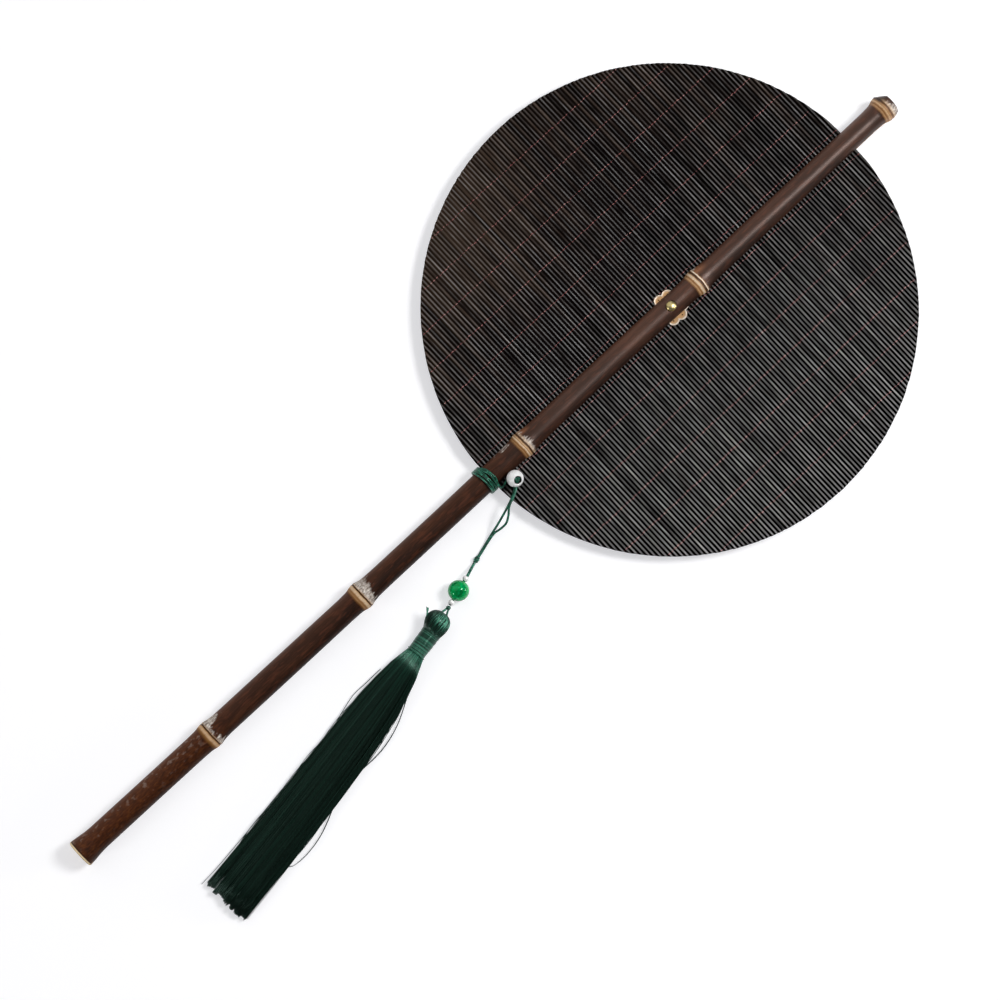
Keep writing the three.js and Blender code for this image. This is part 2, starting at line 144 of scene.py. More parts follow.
# %% [markdown]
# Product photographs like this one are made on a white sweep between soft boxes. The floor is a pale matt
# card. What the camera sees of it is lifted to white by a glow that only camera, mirror and glass rays
# meet, so that no extra light falls on the fan and its soft shadows stay. The room behind the lamps is
# dim, because the dark slats and the oiled bamboo mirror it: in a bright room they would look grey.

# %% Floor and world
floor_reach = 4.0
floor_drop = 0.2 * MM
wall_light = 0.12
ceiling_light = 0.05
card_shade = 0.6
card_colour = "#e6e6e6"
card_glow = "#c3c3c6"


def seen_directly(tree):
    """1 for rays that show the background itself, 0 for rays that carry light to the fan."""
    path = add_node(tree, "LightPath").outputs
    seen = path["Is Camera Ray"]
    for ray in ("Is Glossy Ray", "Is Transmission Ray"):
        seen = add_node(tree, "Math", {0: seen, 1: path[ray]}, operation="MAXIMUM").outputs[0]
    return seen


world = bpy.data.worlds.new("studio")
world.use_nodes = True
scene.world = world
tree = world.node_tree
tree.nodes.clear()
direction = add_node(tree, "TexCoord").outputs["Generated"]
upward = add_node(tree, "SeparateXYZ", {"Vector": direction}).outputs["Z"]
room = add_node(tree, "MapRange", {"Value": upward, "To Min": wall_light, "To Max": ceiling_light})
sky = add_node(tree, "Background", {"Color": "#ffffff", "Strength": room.outputs["Result"]})
add_node(tree, "OutputWorld", {"Surface": sky.outputs[0]})

card, tree = new_material("white_card")
matt = add_node(tree, "BsdfDiffuse", {"Color": card_colour})
shade = add_node(tree, "BsdfDiffuse", {"Color": (card_shade, card_shade, card_shade, 1.0)})
glow = add_node(tree, "Emission", {"Color": card_glow, "Strength": 1.0})
lifted = add_node(tree, "AddShader", {0: shade.outputs[0], 1: glow.outputs[0]})
surface = add_node(tree, "MixShader", {0: seen_directly(tree), 1: matt.outputs[0], 2: lifted.outputs[0]})
add_node(tree, "OutputMaterial", {"Surface": surface.outputs[0]})

floor_mesh = bpy.data.meshes.new("floor")
signs = [(-1, -1), (1, -1), (1, 1), (-1, 1)]
corners = [(x * floor_reach, y * floor_reach, -floor_drop) for x, y in signs]
floor_mesh.from_pydata(corners, [], [(0, 1, 2, 3)])
floor_mesh.materials.append(card)
floor = bpy.data.objects.new("floor", floor_mesh)
scene.collection.objects.link(floor)
print("floor:", 2 * floor_reach, "m square")

# %% [markdown]
# A window and three lamps light the fan. The bright spots on the round jade bead give the lamps away: a
# bead is a mirror ball, so a spot's place on it tells where its lamp stood. The brightest one, high on
# the right, also draws the gleam that grows along the handle towards its tip, and one line on each slat.
# The window is wide and to the left: it lights the handle's left side and throws the soft shadows to its
# right. Each lamp is set by its direction from the fan in the picture's own axes: right, up and towards
# the viewer.

# %% Soft boxes
def soft_box(name, direction, distance, width, watts):
    """A square lamp that faces the fan. Its distance and width are in metres."""
    lamp = bpy.data.lights.new(name, "AREA")
    lamp.shape = "SQUARE"
    lamp.size = width
    lamp.energy = watts
    box = bpy.data.objects.new(name, lamp)
    box.location = aim_point + picture_axes @ Vector(direction).normalized() * distance
    box.rotation_euler = (box.location - aim_point).to_track_quat("Z", "Y").to_euler()
    scene.collection.objects.link(box)


soft_box("window", (-0.419, 0.682, 0.595), distance=2.4, width=4.2, watts=29.0)
soft_box("key_lamp", (0.566, 0.264, 0.781), distance=1.5, width=0.42, watts=15.0)
soft_box("low_lamp", (0.988, 0.046, 0.155), distance=1.4, width=0.3, watts=4.5)
soft_box("left_lamp", (-0.776, -0.512, 0.365), distance=1.4, width=0.3, watts=3.5)

# %% [markdown]
# Every piece of the fan is made the same way: points and faces go into a mesh, the mesh rides on the CAD
# body that carries it, and it hides the CAD node that it stands for. Blender has operators for this, but
# plain data calls are quicker and don't depend on what is selected.

# %% Making a piece
SHARP = math.radians(38)
print("edges stay sharp from", round(math.degrees(SHARP)), "degrees on")


def make_piece(name, shape, body, material, stands_for=(), sharp=None, marks=None):
    """A piece from (points in mm, faces). marks are named numbers for each point, which materials read."""
    points, faces = shape
    mesh = bpy.data.meshes.new(name)
    mesh.from_pydata(np.asarray(points) * MM, [], faces)
    mesh.shade_smooth()
    if sharp:
        mesh.set_sharp_from_angle(angle=sharp)
    for mark, values in (marks or {}).items():
        attribute = mesh.attributes.new(mark, "FLOAT", "POINT")
        attribute.data.foreach_set("value", np.asarray(values, np.float32))
    mesh.materials.append(material)
    piece = bpy.data.objects.new(name, mesh)
    scene.collection.objects.link(piece)
    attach(piece, body)
    if stands_for:
        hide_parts(*stands_for)
    print(f"{name}: {len(points)} points, {len(faces)} faces, on {body}")
    return piece


# %% [markdown]
# A cord is a round bundle of twisted plies. A curve with a bevel gives a smooth hose, so the tube is made
# here by hand: rings of points along a route, with low lobes that wind round it as plies do.

# %% Routes and tubes
steps_per_span = 16


def smooth_route(points, step):
    """Points every step along a smooth curve through the given ones."""
    points = np.asarray(points, float)
    ends = np.vstack([2 * points[0] - points[1], points, 2 * points[-1] - points[-2]])
    t = np.linspace(0, 1, steps_per_span + 1)[:-1, None]
    spans = [
        b + 0.5 * t * (c - a + t * (2 * a - 5 * b + 4 * c - d + t * (3 * (b - c) + d - a)))
        for a, b, c, d in zip(ends, ends[1:], ends[2:], ends[3:])
    ]
    fine = np.vstack([*spans, points[-1:]])
    along = length_along(fine)
    stops = np.linspace(0, along[-1], max(2, round(along[-1] / step) + 1))
    return np.stack([np.interp(stops, along, fine[:, k]) for k in range(3)], axis=1)


def length_along(route):
    """How far along a route each of its points lies."""
    return np.concatenate([[0.0], np.cumsum(np.linalg.norm(np.diff(route, axis=0), axis=1))])


def tube(route, radius, sides, plies=0, ply_depth=0.0, lay=1.0):
    """Rings round a route. The plies' lobes go once round in each lay length."""
    route = np.asarray(route, float)
    ahead = np.gradient(route, axis=0)
    ahead /= np.linalg.norm(ahead, axis=1)[:, None]
    side = np.empty_like(route)
    side[0] = np.cross(ahead[0], np.eye(3)[np.abs(ahead[0]).argmin()])
    for i in range(1, len(route)):
        side[i] = side[i - 1] - (side[i - 1] @ ahead[i]) * ahead[i]
    side /= np.linalg.norm(side, axis=1)[:, None]
    other = np.cross(ahead, side)
    turn = np.arange(sides) * 2 * math.pi / sides
    wind = 2 * math.pi * length_along(route)[:, None] / lay
    reach = np.reshape(radius, (-1, 1)) * (1 + ply_depth * np.cos(plies * (turn - wind)))
    around = np.cos(turn)[:, None] * side[:, None] + np.sin(turn)[:, None] * other[:, None]
    return route[:, None] + reach[:, :, None] * around


def skin(tubes):
    """The points and faces of tubes, with closed ends."""
    points, faces, start = [], [], 0
    for rings in tubes:
        count, sides = rings.shape[:2]
        grid = start + np.arange(count * sides).reshape(count, sides)
        turned = np.roll(grid, -1, axis=1)
        walls = np.stack([grid[:-1], turned[:-1], turned[1:], grid[1:]], axis=-1)
        faces += walls.reshape(-1, 4).tolist() + [grid[0, ::-1].tolist(), grid[-1].tolist()]
        points.append(rings.reshape(-1, 3))
        start += count * sides
    return np.vstack(points), faces


cord_thickness = 1.1
rope = {"sides": 12, "plies": 3, "ply_depth": 0.1, "lay": 2.6}
print("cord:", cord_thickness, "mm with", rope["plies"], "plies")

# %% [markdown]
# The cord is satin nylon, dyed teal and twisted from three plies. Smooth filaments give it a soft
# lengthwise sheen in the dye's own hue, so its gloss is tinted, and the dye varies a little along it.

# %% Satin nylon cord
nylon_grain = 1.3
nylon, tree = new_material("satin_nylon_cord")
place = add_node(tree, "TexCoord").outputs["Object"]
speck = add_node(tree, "TexNoise", {"Vector": place, "Scale": per_mm(nylon_grain)[0], "Detail": 1.0})
dye = add_node(tree, "ValToRGB", {"Fac": speck.outputs["Fac"]},
               stops=[(0.30, "#092a1f"), (0.50, "#144a39"), (0.70, "#358268")])
bump = add_node(tree, "Bump", {"Height": speck.outputs["Fac"], "Strength": 0.06, "Distance": 0.1 * MM})
satin = add_node(tree, "BsdfPrincipled", {
    "Base Color": dye.outputs["Color"], "Roughness": 0.32, "IOR": 1.53, "Normal": bump.outputs["Normal"],
    "Specular IOR Level": 1.0, "Specular Tint": "#a9e8d0"})
add_node(tree, "OutputMaterial", {"Surface": satin.outputs["BSDF"]})
print("material:", nylon.name)

# %% [markdown]
# Two strands come out of the silver bead's bore, part, and meet again in a knot, below which a single
# cord carries the beads and ends in the tassel's loop. They lie on the mat's edge and then on the table.
# A simulation could drop them there, but the photograph shows every bend, so the route is a list of
# points.

# %% Strands and stem
pendant_start = np.array([0.0, -2.7, 0.0])
left_strand = [
    (8.7, 7.45, 11.9), (8.3, 7.25, 10.4), (8.9, 6.75, 9.1), (10.9, 6.2, 8.6), (12.6, 5.1, 8.55),
    (14.3, 2.4, 8.55), (16.2, -2.3, 8.6), (17.3, -5.4, 8.3), (18.4, -9.0, 7.0), (19.3, -12.2, 5.0),
    (20.2, -16.0, 2.9), (21.45, -20.6, 1.2), (22.55, -24.6, 0.6), (23.4, -27.5, 0.8),
]
right_strand = [
    (9.2, 8.65, 11.9), (8.8, 8.45, 10.4), (9.5, 7.95, 9.2), (11.2, 7.0, 9.3), (13.0, 5.6, 9.4),
    (14.75, 2.7, 9.45), (16.75, -2.1, 9.3), (19.7, -5.5, 8.6), (21.5, -8.6, 7.0), (21.5, -12.2, 5.0),
    (21.0, -15.6, 3.6), (21.9, -20.3, 2.1), (23.0, -24.3, 1.5), (23.8, -27.2, 1.5),
]
knot_place = np.array([24.2, -29.7, 1.4])
below_knot = [(24.85, -31.95, 1.6), (25.5, -33.9, 2.5), (26.2, -35.9, 4.2)]
jade_place = np.array([29.23, -45.98, 5.0])
stem_turn = math.radians(16)
stem_way = np.array([math.sin(stem_turn), -math.cos(stem_turn), 0.0])
spacer_offset = 6.463
stem_reach = 7.963
stem_lead = 1.0
stem_thickness = 1.4
stem_reaches = [-stem_reach - stem_lead, *np.linspace(-stem_reach, stem_reach, 5)]
stem = [jade_place + stem_way * reach for reach in stem_reaches]

cord_step = 0.3
left_route = smooth_route([*left_strand, knot_place, *below_knot, *stem], cord_step) + pendant_start
right_route = smooth_route([*right_strand, knot_place], cord_step) + pendant_start
past_knot = np.interp(left_route[:, 1] - pendant_start[1] - knot_place[1], [-2.0, 0.0], [1.0, 0.0])
left_width = cord_thickness + (stem_thickness - cord_thickness) * past_knot
left_shape = skin([tube(left_route, left_width / 2, **rope)])
left_cord = make_piece("left_cord", left_shape, "pendant", nylon, ["left_strand", "stem_cord"])
right_shape = skin([tube(right_route, cord_thickness / 2, **rope)])
right_cord = make_piece("right_cord", right_shape, "pendant", nylon, ["right_strand"])

# %% [markdown]
# A barrel knot ties the two strands together: the cord wraps round its own line. A ball would do for so
# small a thing, but close by the wraps show, so the cord is wound as a spiral that is fuller in the
# middle.

# %% Barrel knot
steps_per_wrap = 26
knot_end_size = 0.55


def wrapped_knot(middle, way, length, outer, wraps):
    """A barrel knot: the cord wraps round its own line, fuller in the middle."""
    t = np.linspace(0, 1, steps_per_wrap * wraps)
    swell = knot_end_size + (1 - knot_end_size) * np.sin(math.pi * t)
    side = np.cross(way, (0.0, 0.0, 1.0))
    reach = (outer - cord_thickness) / 2 * swell
    turn = 2 * math.pi * wraps * t
    spread = np.outer(np.cos(turn) * reach, side) + np.outer(np.sin(turn) * reach, (0.0, 0.0, 1.0))
    return middle + np.outer((t - 0.5) * (length - cord_thickness), way) + spread


knot_length = 3.8
knot_outer = 2.8
knot_wraps = 3
knot_route = wrapped_knot(knot_place + pendant_start, stem_way, knot_length, knot_outer, knot_wraps)
knot_shape = skin([tube(knot_route, cord_thickness / 2, **rope)])
cord_knot = make_piece("barrel_knot", knot_shape, "pendant", nylon, ["cord_knot"])

# %% [markdown]
# Beads are turned and bored, so they are lathe shapes: a profile of radius and height swept round an
# axis. Blender's Screw modifier does the same, but a small function keeps the points exact.

# %% Lathe
def lathe(profile, sides, axis, centre, ring=False):
    """A profile of (radius, height) swept round an axis. A ring's profile closes on itself."""
    axis = np.asarray(axis, float) / np.linalg.norm(axis)
    side = np.cross(axis, np.eye(3)[np.abs(axis).argmin()])
    side /= np.linalg.norm(side)
    other = np.cross(axis, side)
    turn = np.arange(sides) * 2 * math.pi / sides
    around = np.outer(np.cos(turn), side) + np.outer(np.sin(turn), other)
    points, rows = [], []
    for radius, height in profile:
        start = len(points)
        if radius == 0:
            points.append(centre + height * axis)
            rows.append([start] * sides)
        else:
            points.extend(centre + height * axis + radius * around)
            rows.append(list(range(start, start + sides)))
    pairs = list(zip(rows, rows[1:])) + ([(rows[-1], rows[0])] if ring else [])
    faces = []
    for low, high in pairs:
        for i in range(sides):
            j = (i + 1) % sides
            faces.append(list(dict.fromkeys([low[i], low[j], high[j], high[i]])))
    return np.array(points), faces


def bored_ball(diameter, bore, softening=0.2, steps=28):
    """Half the outline of a bored bead, with a softened mouth at both ends."""
    radius = diameter / 2
    rim = bore / 2 + softening
    start = math.asin(rim / radius)
    mouth = math.sqrt(radius ** 2 - rim ** 2)
    angles = np.linspace(start, math.pi - start, steps)
    outline = [(radius * math.sin(a), -radius * math.cos(a)) for a in angles]
    inside = mouth - softening
    lip = 0.3 * softening
    top = [(bore / 2 + lip, mouth - lip), (bore / 2, inside)]
    bottom = [(bore / 2, -inside), (bore / 2 + lip, lip - mouth)]
    return bottom + outline + top


print("a bored bead's outline has", len(bored_ball(8.0, 2.0)), "points")

# %% [markdown]
# The round beads are silver-plated brass with a satin finish. A pure metal would mirror the dark mat and
# look black there, while satin plating scatters most of the light that falls on it. So it is set as a
# white, half glossy coat with a little metal in it. The faces inside the bore get a dark material
# instead, as painted shade in the bore.

# %% Silver plate
tarnish_size = 2.5
silver, tree = new_material("silver_plate")
place = add_node(tree, "TexCoord").outputs["Object"]
cloud = add_node(tree, "TexNoise", {"Vector": place, "Scale": per_mm(tarnish_size)[0], "Detail": 4.0})
tone = add_node(tree, "ValToRGB", {"Fac": cloud.outputs["Fac"]}, stops=[(0.3, "#f0efee"), (0.6, "#ffffff")])
gloss = add_node(tree, "MapRange", {"Value": cloud.outputs["Fac"], "To Min": 0.25, "To Max": 0.4})
plate = add_node(tree, "BsdfPrincipled", {
    "Base Color": tone.outputs["Color"], "Metallic": 0.1, "Roughness": gloss.outputs["Result"]})
add_node(tree, "OutputMaterial", {"Surface": plate.outputs["BSDF"]})

# painted shade: a dark material for the faces inside the stop bead's bore
bore_shade_material, tree = new_material("painted_bore_shade")
bore_shade_bsdf = add_node(tree, "BsdfPrincipled", {"Base Color": "#221d18", "Roughness": 0.6, "IOR": 1.5})
add_node(tree, "OutputMaterial", {"Surface": bore_shade_bsdf.outputs["BSDF"]})
print("materials:", silver.name, bore_shade_material.name)

# %% [markdown]
# The large bead is green jade, ground and polished. Light goes a little way into the stone and comes out
# again, which lifts its shaded side, and paler clouds drift through it. Glass would be too clear, so the
# stone scatters light below its surface. Its polish mirrors the lamps in a green tint, which keeps the
# bead's edge from turning grey.

# %% Polished jade
jade_cloud = 3.2
jade, tree = new_material("polished_jade")
place = add_node(tree, "TexCoord").outputs["Object"]
cloud = add_node(tree, "TexNoise", {
    "Vector": place, "Scale": per_mm(jade_cloud)[0], "Detail": 5.0, "Distortion": 0.8})
stone = add_node(tree, "ValToRGB", {"Fac": cloud.outputs["Fac"]},
                 stops=[(0.28, "#006a34"), (0.45, "#00964c"), (0.60, "#00ae5e"), (0.80, "#28c47c")])
polish = add_node(tree, "BsdfPrincipled", {
    "Base Color": stone.outputs["Color"], "Roughness": 0.08, "IOR": 1.5, "Specular Tint": "#b9ffdc",
    "Subsurface Weight": 0.4, "Subsurface Radius": (0.2, 1.0, 0.4), "Subsurface Scale": 1.5 * MM})
add_node(tree, "OutputMaterial", {"Surface": polish.outputs["BSDF"]})
print("material:", jade.name)

# %% [markdown]
# Three sizes of bead hang on the cord: the stop bead with its wide bore turned up, and the jade bead
# between two spacers, which turn on the stem. Plain balls would be simpler, but the cord has to pass
# through them, so each bead is bored.

# %% Beads
silver_place = np.array([9.45, 8.15, 13.5]) + pendant_start
silver_diameter = 8.0
silver_bore = 3.8
bead_lean = math.radians(29)
lean_way = math.radians(5)
silver_axis = np.array([
    math.sin(bead_lean) * math.cos(lean_way),
    math.sin(bead_lean) * math.sin(lean_way),
    math.cos(bead_lean),
])
jade_diameter = 10.0
spacer_diameter = 3.0
stem_bore = 1.7
bead_sides = 48
spacer_sides = 32
bore_slack = 0.02

stop_outline = bored_ball(silver_diameter, silver_bore)
stop_ball = lathe(stop_outline, bead_sides, silver_axis, silver_place, ring=True)
stop_bead = make_piece("stop_bead", stop_ball, "pendant", silver, ["silver_bead"], SHARP)
# the faces inside the bore take the dark material, as painted shade
stop_bead.data.materials.append(bore_shade_material)
for face in stop_bead.data.polygons:
    from_middle = np.array(face.center) / MM - silver_place
    if np.linalg.norm(np.cross(from_middle, silver_axis)) < silver_bore / 2 + bore_slack:
        face.material_index = 1
stone_outline = bored_ball(jade_diameter, stem_bore, softening=0.1)
stone_ball = lathe(stone_outline, bead_sides, stem_way, jade_place + pendant_start, ring=True)
stone_bead = make_piece("stone_bead", stone_ball, "bead_stack", jade, ["jade_bead"], SHARP)
spacer_outline = bored_ball(spacer_diameter, stem_bore, softening=0.12, steps=18)
spacers = []
for name, reach in (("upper_spacer", -spacer_offset), ("lower_spacer", spacer_offset)):
    middle = jade_place + pendant_start + stem_way * reach
    ball = lathe(spacer_outline, spacer_sides, stem_way, middle, ring=True)
    spacers.append(make_piece(name + "_bead", ball, "bead_stack", silver, [name], SHARP))

# %% [markdown]
# A tight knot plugs the stop bead's mouth, so that the cord can't slip out. Which way a real knot's cord
# runs is hard to make out. A trefoil, the simplest closed knot, looks woven from every side.

# %% Plug knot
def trefoil(middle, axis, size, rise, steps=90):
    """A closed route that crosses itself three times, round an axis."""
    t = np.linspace(0, 2 * math.pi, steps)
    side = np.cross(axis, (0.0, 1.0, 0.0))
    side /= np.linalg.norm(side)
    other = np.cross(axis, side)
    reach = size * (2 + np.cos(3 * t)) / 3
    flat = np.outer(reach * np.cos(2 * t), side) + np.outer(reach * np.sin(2 * t), other)
    return middle + flat + np.outer(rise * np.sin(3 * t), axis)


plug_height = 2.25
plug_size = 1.05
plug_rise = 0.45
plug_cord_radius = 0.45
plug_middle = silver_place + silver_axis * plug_height
plug = tube(trefoil(plug_middle, silver_axis, plug_size, plug_rise), plug_cord_radius, **rope)
plug_knot = make_piece("plug_knot", skin([plug]), "pendant", nylon, ["bead_knot"])

# %% [markdown]
# The tassel has its own line on the table, so its pieces are made upright in a plain frame, with the loop
# at the origin and the threads running along -Y, and are turned into place together. Its loop is a short
# cord, wrapped below the spacer, whose two legs open over the head. The pieces could be modelled where
# they lie, but a plain frame keeps their numbers readable.

# %% Tassel frame and loop
tassel_place = np.array([32.059, -58.546, 0.0])
tassel_turn = math.radians(9.9)
tassel_axes = np.array([
    [math.cos(tassel_turn), math.sin(tassel_turn), 0.0],
    [-math.sin(tassel_turn), math.cos(tassel_turn), 0.0],
    [0.0, 0.0, 1.0],
])


def hang(points):
    """Points of the tassel's own frame, in the fan's frame."""
    return np.asarray(points) @ tassel_axes + tassel_place


loop_z = 5.0
loop_points = [
    (-1.5, -3.3, 6.9), (-1.05, -2.0, 6.1), (-0.6, -0.5, 5.3), (-0.3, 1.2, loop_z), (0.0, 1.6, loop_z),
    (0.3, 1.2, loop_z), (0.75, -0.5, 5.3), (1.35, -2.1, 6.1), (1.8, -3.3, 6.9),
]
loop_thickness = 1.0
loop_step = 0.25
loop_rope = {"sides": 10, "plies": 3, "ply_depth": 0.1, "lay": 2.2}
loop_legs = tube(hang(smooth_route(loop_points, loop_step)), loop_thickness / 2, **loop_rope)
loop_knot_place = np.array([0.0, 0.9, loop_z])
loop_knot_size = 2.4
y_up = np.array([0.0, 1.0, 0.0])
loop_wrap = wrapped_knot(loop_knot_place, y_up, loop_knot_size, loop_knot_size, knot_wraps)
loop_wraps = tube(hang(loop_wrap), loop_thickness / 2, **loop_rope)
tassel_loop = make_piece("hanging_loop", skin([loop_legs, loop_wraps]), "tassel", nylon,
                         ["tassel_loop"])

# %% [markdown]
# Each free cord's length is printed. Both show in the photograph, apart from what the beads hide, so
# their length is that of their route.

on_left_cord = [stop_bead, plug_knot, cord_knot, stone_bead, *spacers, tassel_loop]
for cord, route, far_end, on_it in (
    (left_cord, left_route, "fitting", on_left_cord),
    (right_cord, right_route, "knot", []),
):
    print(f"{cord.name}: {length_along(route)[-1]:.1f} mm long")

# %% [markdown]
# Tassels are tied from silk floss: smooth filaments, dyed dark green and left untwisted, so that each
# thread gleams in the hue of its dye. Blender's hair shader gives that gleam too, but an export to other
# programs drops it, so a plain glossy surface is used. Each thread's tone, from nearly black to mint, is
# stored on its points, and one ramp turns the tones into dyes.

# %% Silk thread
silk_fibre = 0.35
silk, tree = new_material("silk_floss")
place = add_node(tree, "TexCoord").outputs["Object"]
thread_tone = add_node(tree, "Attribute", attribute_name="thread_tone").outputs["Fac"]
speck = add_node(tree, "TexNoise", {"Vector": place, "Scale": per_mm(silk_fibre)[0], "Detail": 2.0})
spread = add_node(tree, "MapRange", {"Value": speck.outputs["Fac"], "To Min": -0.12, "To Max": 0.12})
level = add_node(tree, "Math", {0: thread_tone, 1: spread.outputs["Result"]}, operation="ADD")
dye = add_node(tree, "ValToRGB", {"Fac": level.outputs[0]},
               stops=[(0.0, "#040b08"), (0.4, "#0a1a14"), (0.7, "#173d30"), (1.0, "#559c82")])
floss = add_node(tree, "BsdfPrincipled", {
    "Base Color": dye.outputs["Color"], "Roughness": 0.3, "IOR": 1.53, "Specular IOR Level": 0.8,
    "Specular Tint": "#a8dcc6"})
add_node(tree, "OutputMaterial", {"Surface": floss.outputs["BSDF"]})
print("material:", silk.name)

# %% [markdown]
# Round the loop's legs the tassel's threads fold over into a head like a small onion. They lie side by
# side from the top down to the neck, a little askew. A turned shape with painted lines would look
# moulded, so the head is made of many thin tubes over a core that takes the darkest tone, as painted
# shade between the threads. Where the head is widest, a band of paler tones crosses its front on the
# right as a painted highlight.

# %% Tassel head
def thread_tones(tubes, tones):
    """The tones of all points. A tube has one tone, or one for each ring, or one for each point."""
    grids = [tone if np.ndim(tone) == 2 else np.reshape(tone, (-1, 1)) for tone in tones]
    spread = [np.broadcast_to(grid, rings.shape[:2]) for rings, grid in zip(tubes, grids)]
    return np.concatenate([tone.ravel() for tone in spread])


head_profile = [(1.3, -2.4), (2.9, -2.8), (4.6, -4.1), (5.55, -5.9), (5.85, -7.7), (5.6, -9.6),
                (5.0, -11.4), (4.45, -12.9)]
head_z = 6.1
head_threads = 180
head_thread = 0.38
head_step = 1.0
head_swirl = (0.25, 0.22)  # mean and spread
head_lift = (-0.25, 0.12)
darkest_tone = 0.12
tone_range = 0.62
thread_sides = 5
core_sides = 32
core_depth = 0.35
neck_offset = 0.7
gleam_y = -6.0
gleam_width = 2.8
gleam_turn = 0.75
dice = np.random.default_rng(11)
profile = np.array(head_profile)
tubes, tones = [], []
for i in range(head_threads):
    start = 2 * math.pi * (i + dice.uniform(-0.4, 0.4)) / head_threads
    swirl = dice.normal(*head_swirl)
    lift = dice.uniform(*head_lift)
    turn = start + swirl * np.linspace(0, 1, len(profile)) ** 1.5
    reach = profile[:, 0] + lift
    centre_z = np.interp(profile[:, 1], [-12.9, -8.0, 0.0], [5.5, head_z, 6.0])
    centre_x = np.interp(profile[:, 1], [-12.9, -8.0], [neck_offset, 0.0])
    points = np.stack([
        centre_x + reach * np.cos(turn),
        profile[:, 1],
        centre_z + reach * np.sin(turn),
    ], axis=1)
    points[:, 2] = np.maximum(points[:, 2], head_thread / 2)
    route = smooth_route(points, head_step)
    tubes.append(tube(hang(route), head_thread / 2, thread_sides))
    # painted highlight: a band of paler tones across the head's front right, where silk would gleam
    towards_gleam = max(0.0, math.cos(start - gleam_turn)) ** 1.5
    gleam = np.exp(-((route[:, 1] - gleam_y) / gleam_width) ** 2) * towards_gleam
    tones.append(darkest_tone + tone_range * dice.beta(0.6, 0.8) + dice.uniform(0.2, 1.2) * gleam)
core = [(r - core_depth, y) for r, y in head_profile]
core = [(0.0, head_profile[0][1]), *core, (0.0, head_profile[-1][1])]
core_points, core_faces = lathe(core, core_sides, y_up, np.array([0.0, 0.0, 6.0]))
core_points[:, 2] = np.maximum(core_points[:, 2], head_thread)
points, faces = skin(tubes)
faces += [[i + len(points) for i in face[::-1]] for face in core_faces]
# the core's points take tone 0, the darkest dye, as painted shade between the threads
marks = np.concatenate([thread_tones(tubes, tones), np.zeros(len(core_points))])
make_piece("tassel_head_threads", (np.vstack([points, hang(core_points)]), faces), "tassel", silk,
           ["tassel_head"], marks={"thread_tone": marks})

# %% [markdown]
# A thread wound tightly about thirty times binds the neck. One long spiral would lie too evenly, so each
# turn leans and swells by a hair. The last turn lies over the others and is a little thicker.

# %% Tassel neck
neck_top = -12.5
neck_bottom = -24.8
neck_radius = (4.75, 4.45)
neck_z = 5.35
neck_thread = 0.46
neck_overlap = 0.9
last_turn_radius = 0.3
last_turn_tone = 0.8
last_turn_start = -0.45
core_inset = 0.4
winding_sides = 6
steps_per_turn = 40
dice = np.random.default_rng(12)
turns = round((neck_top - neck_bottom) / (neck_thread * neck_overlap))
t = np.linspace(0, turns, turns * steps_per_turn)
uneven = np.interp(t, np.arange(turns + 1), dice.normal(0, 0.07, turns + 1))
reach = np.interp(t, [0, turns], neck_radius) - neck_thread / 2 + uneven
turn = 2 * math.pi * t
neck_y = neck_top - (neck_top - neck_bottom) * t / turns + 0.25 * np.sin(turn + 0.6)
winding = np.stack([neck_offset + reach * np.sin(turn), neck_y, neck_z + reach * np.cos(turn)], axis=1)
last_turn = np.linspace(last_turn_start, 0.5, 30) * math.pi
last_reach = neck_radius[1] + 0.15
last_y = neck_bottom + 0.25 - 0.5 * (last_turn / math.pi - last_turn_start)
last = np.stack([
    neck_offset + last_reach * np.sin(last_turn),
    last_y,
    neck_z + last_reach * np.cos(last_turn),
], axis=1)
wound = [
    tube(hang(winding), neck_thread / 2, winding_sides),
    tube(hang(last), last_turn_radius, winding_sides),
]
points, faces = skin(wound)
core = [
    (0.0, neck_top + 0.3),
    (neck_radius[0] - core_inset, neck_top + 0.2),
    (neck_radius[1] - core_inset, neck_bottom - 0.2),
    (0.0, neck_bottom - 0.3),
]
core_points, core_faces = lathe(core, core_sides, y_up, np.array([neck_offset, 0.0, neck_z]))
faces += [[i + len(points) for i in face] for face in core_faces]
turn_tones = np.interp(t, np.arange(turns + 1), dice.uniform(0.4, 0.92, turns + 1))
# the core's points take tone 0, the darkest dye, as painted shade between the turns
marks = np.concatenate([thread_tones(wound, [turn_tones, last_turn_tone]), np.zeros(len(core_points))])
make_piece("tassel_neck_winding", (np.vstack([points, hang(core_points)]), faces), "tassel", silk,
           ["tassel_neck"], marks={"thread_tone": marks})

# %% [markdown]
# The skirt is a sheaf of some two thousand silk threads. Below the neck it spreads to a flat band and
# sinks to the table, its threads gather into wisps, and the ends are cut a little ragged. Blender's hair
# could grow them, but tubes export as a plain mesh and lie where they are put.

# %% Tassel skirt
skirt_top = -24.4
skirt_length = 145.3
skirt_width = 24.4
skirt_thickness = 4.8
skirt_spread = 22.0
skirt_thread = 0.34
skirt_bow = 1.7
skirt_count = 1900
wisps = 46
skirt_rings = 15
skirt_sides = 3
neck_squeeze = 0.6
wisp_pull = 0.2
sway_size = 0.02
sway_wave = 27
cut_unevenness = 0.012
cut_slant = 1.5
painted_neck_highlight = 0.6
neck_highlight_fade = 8.0
dice = np.random.default_rng(13)


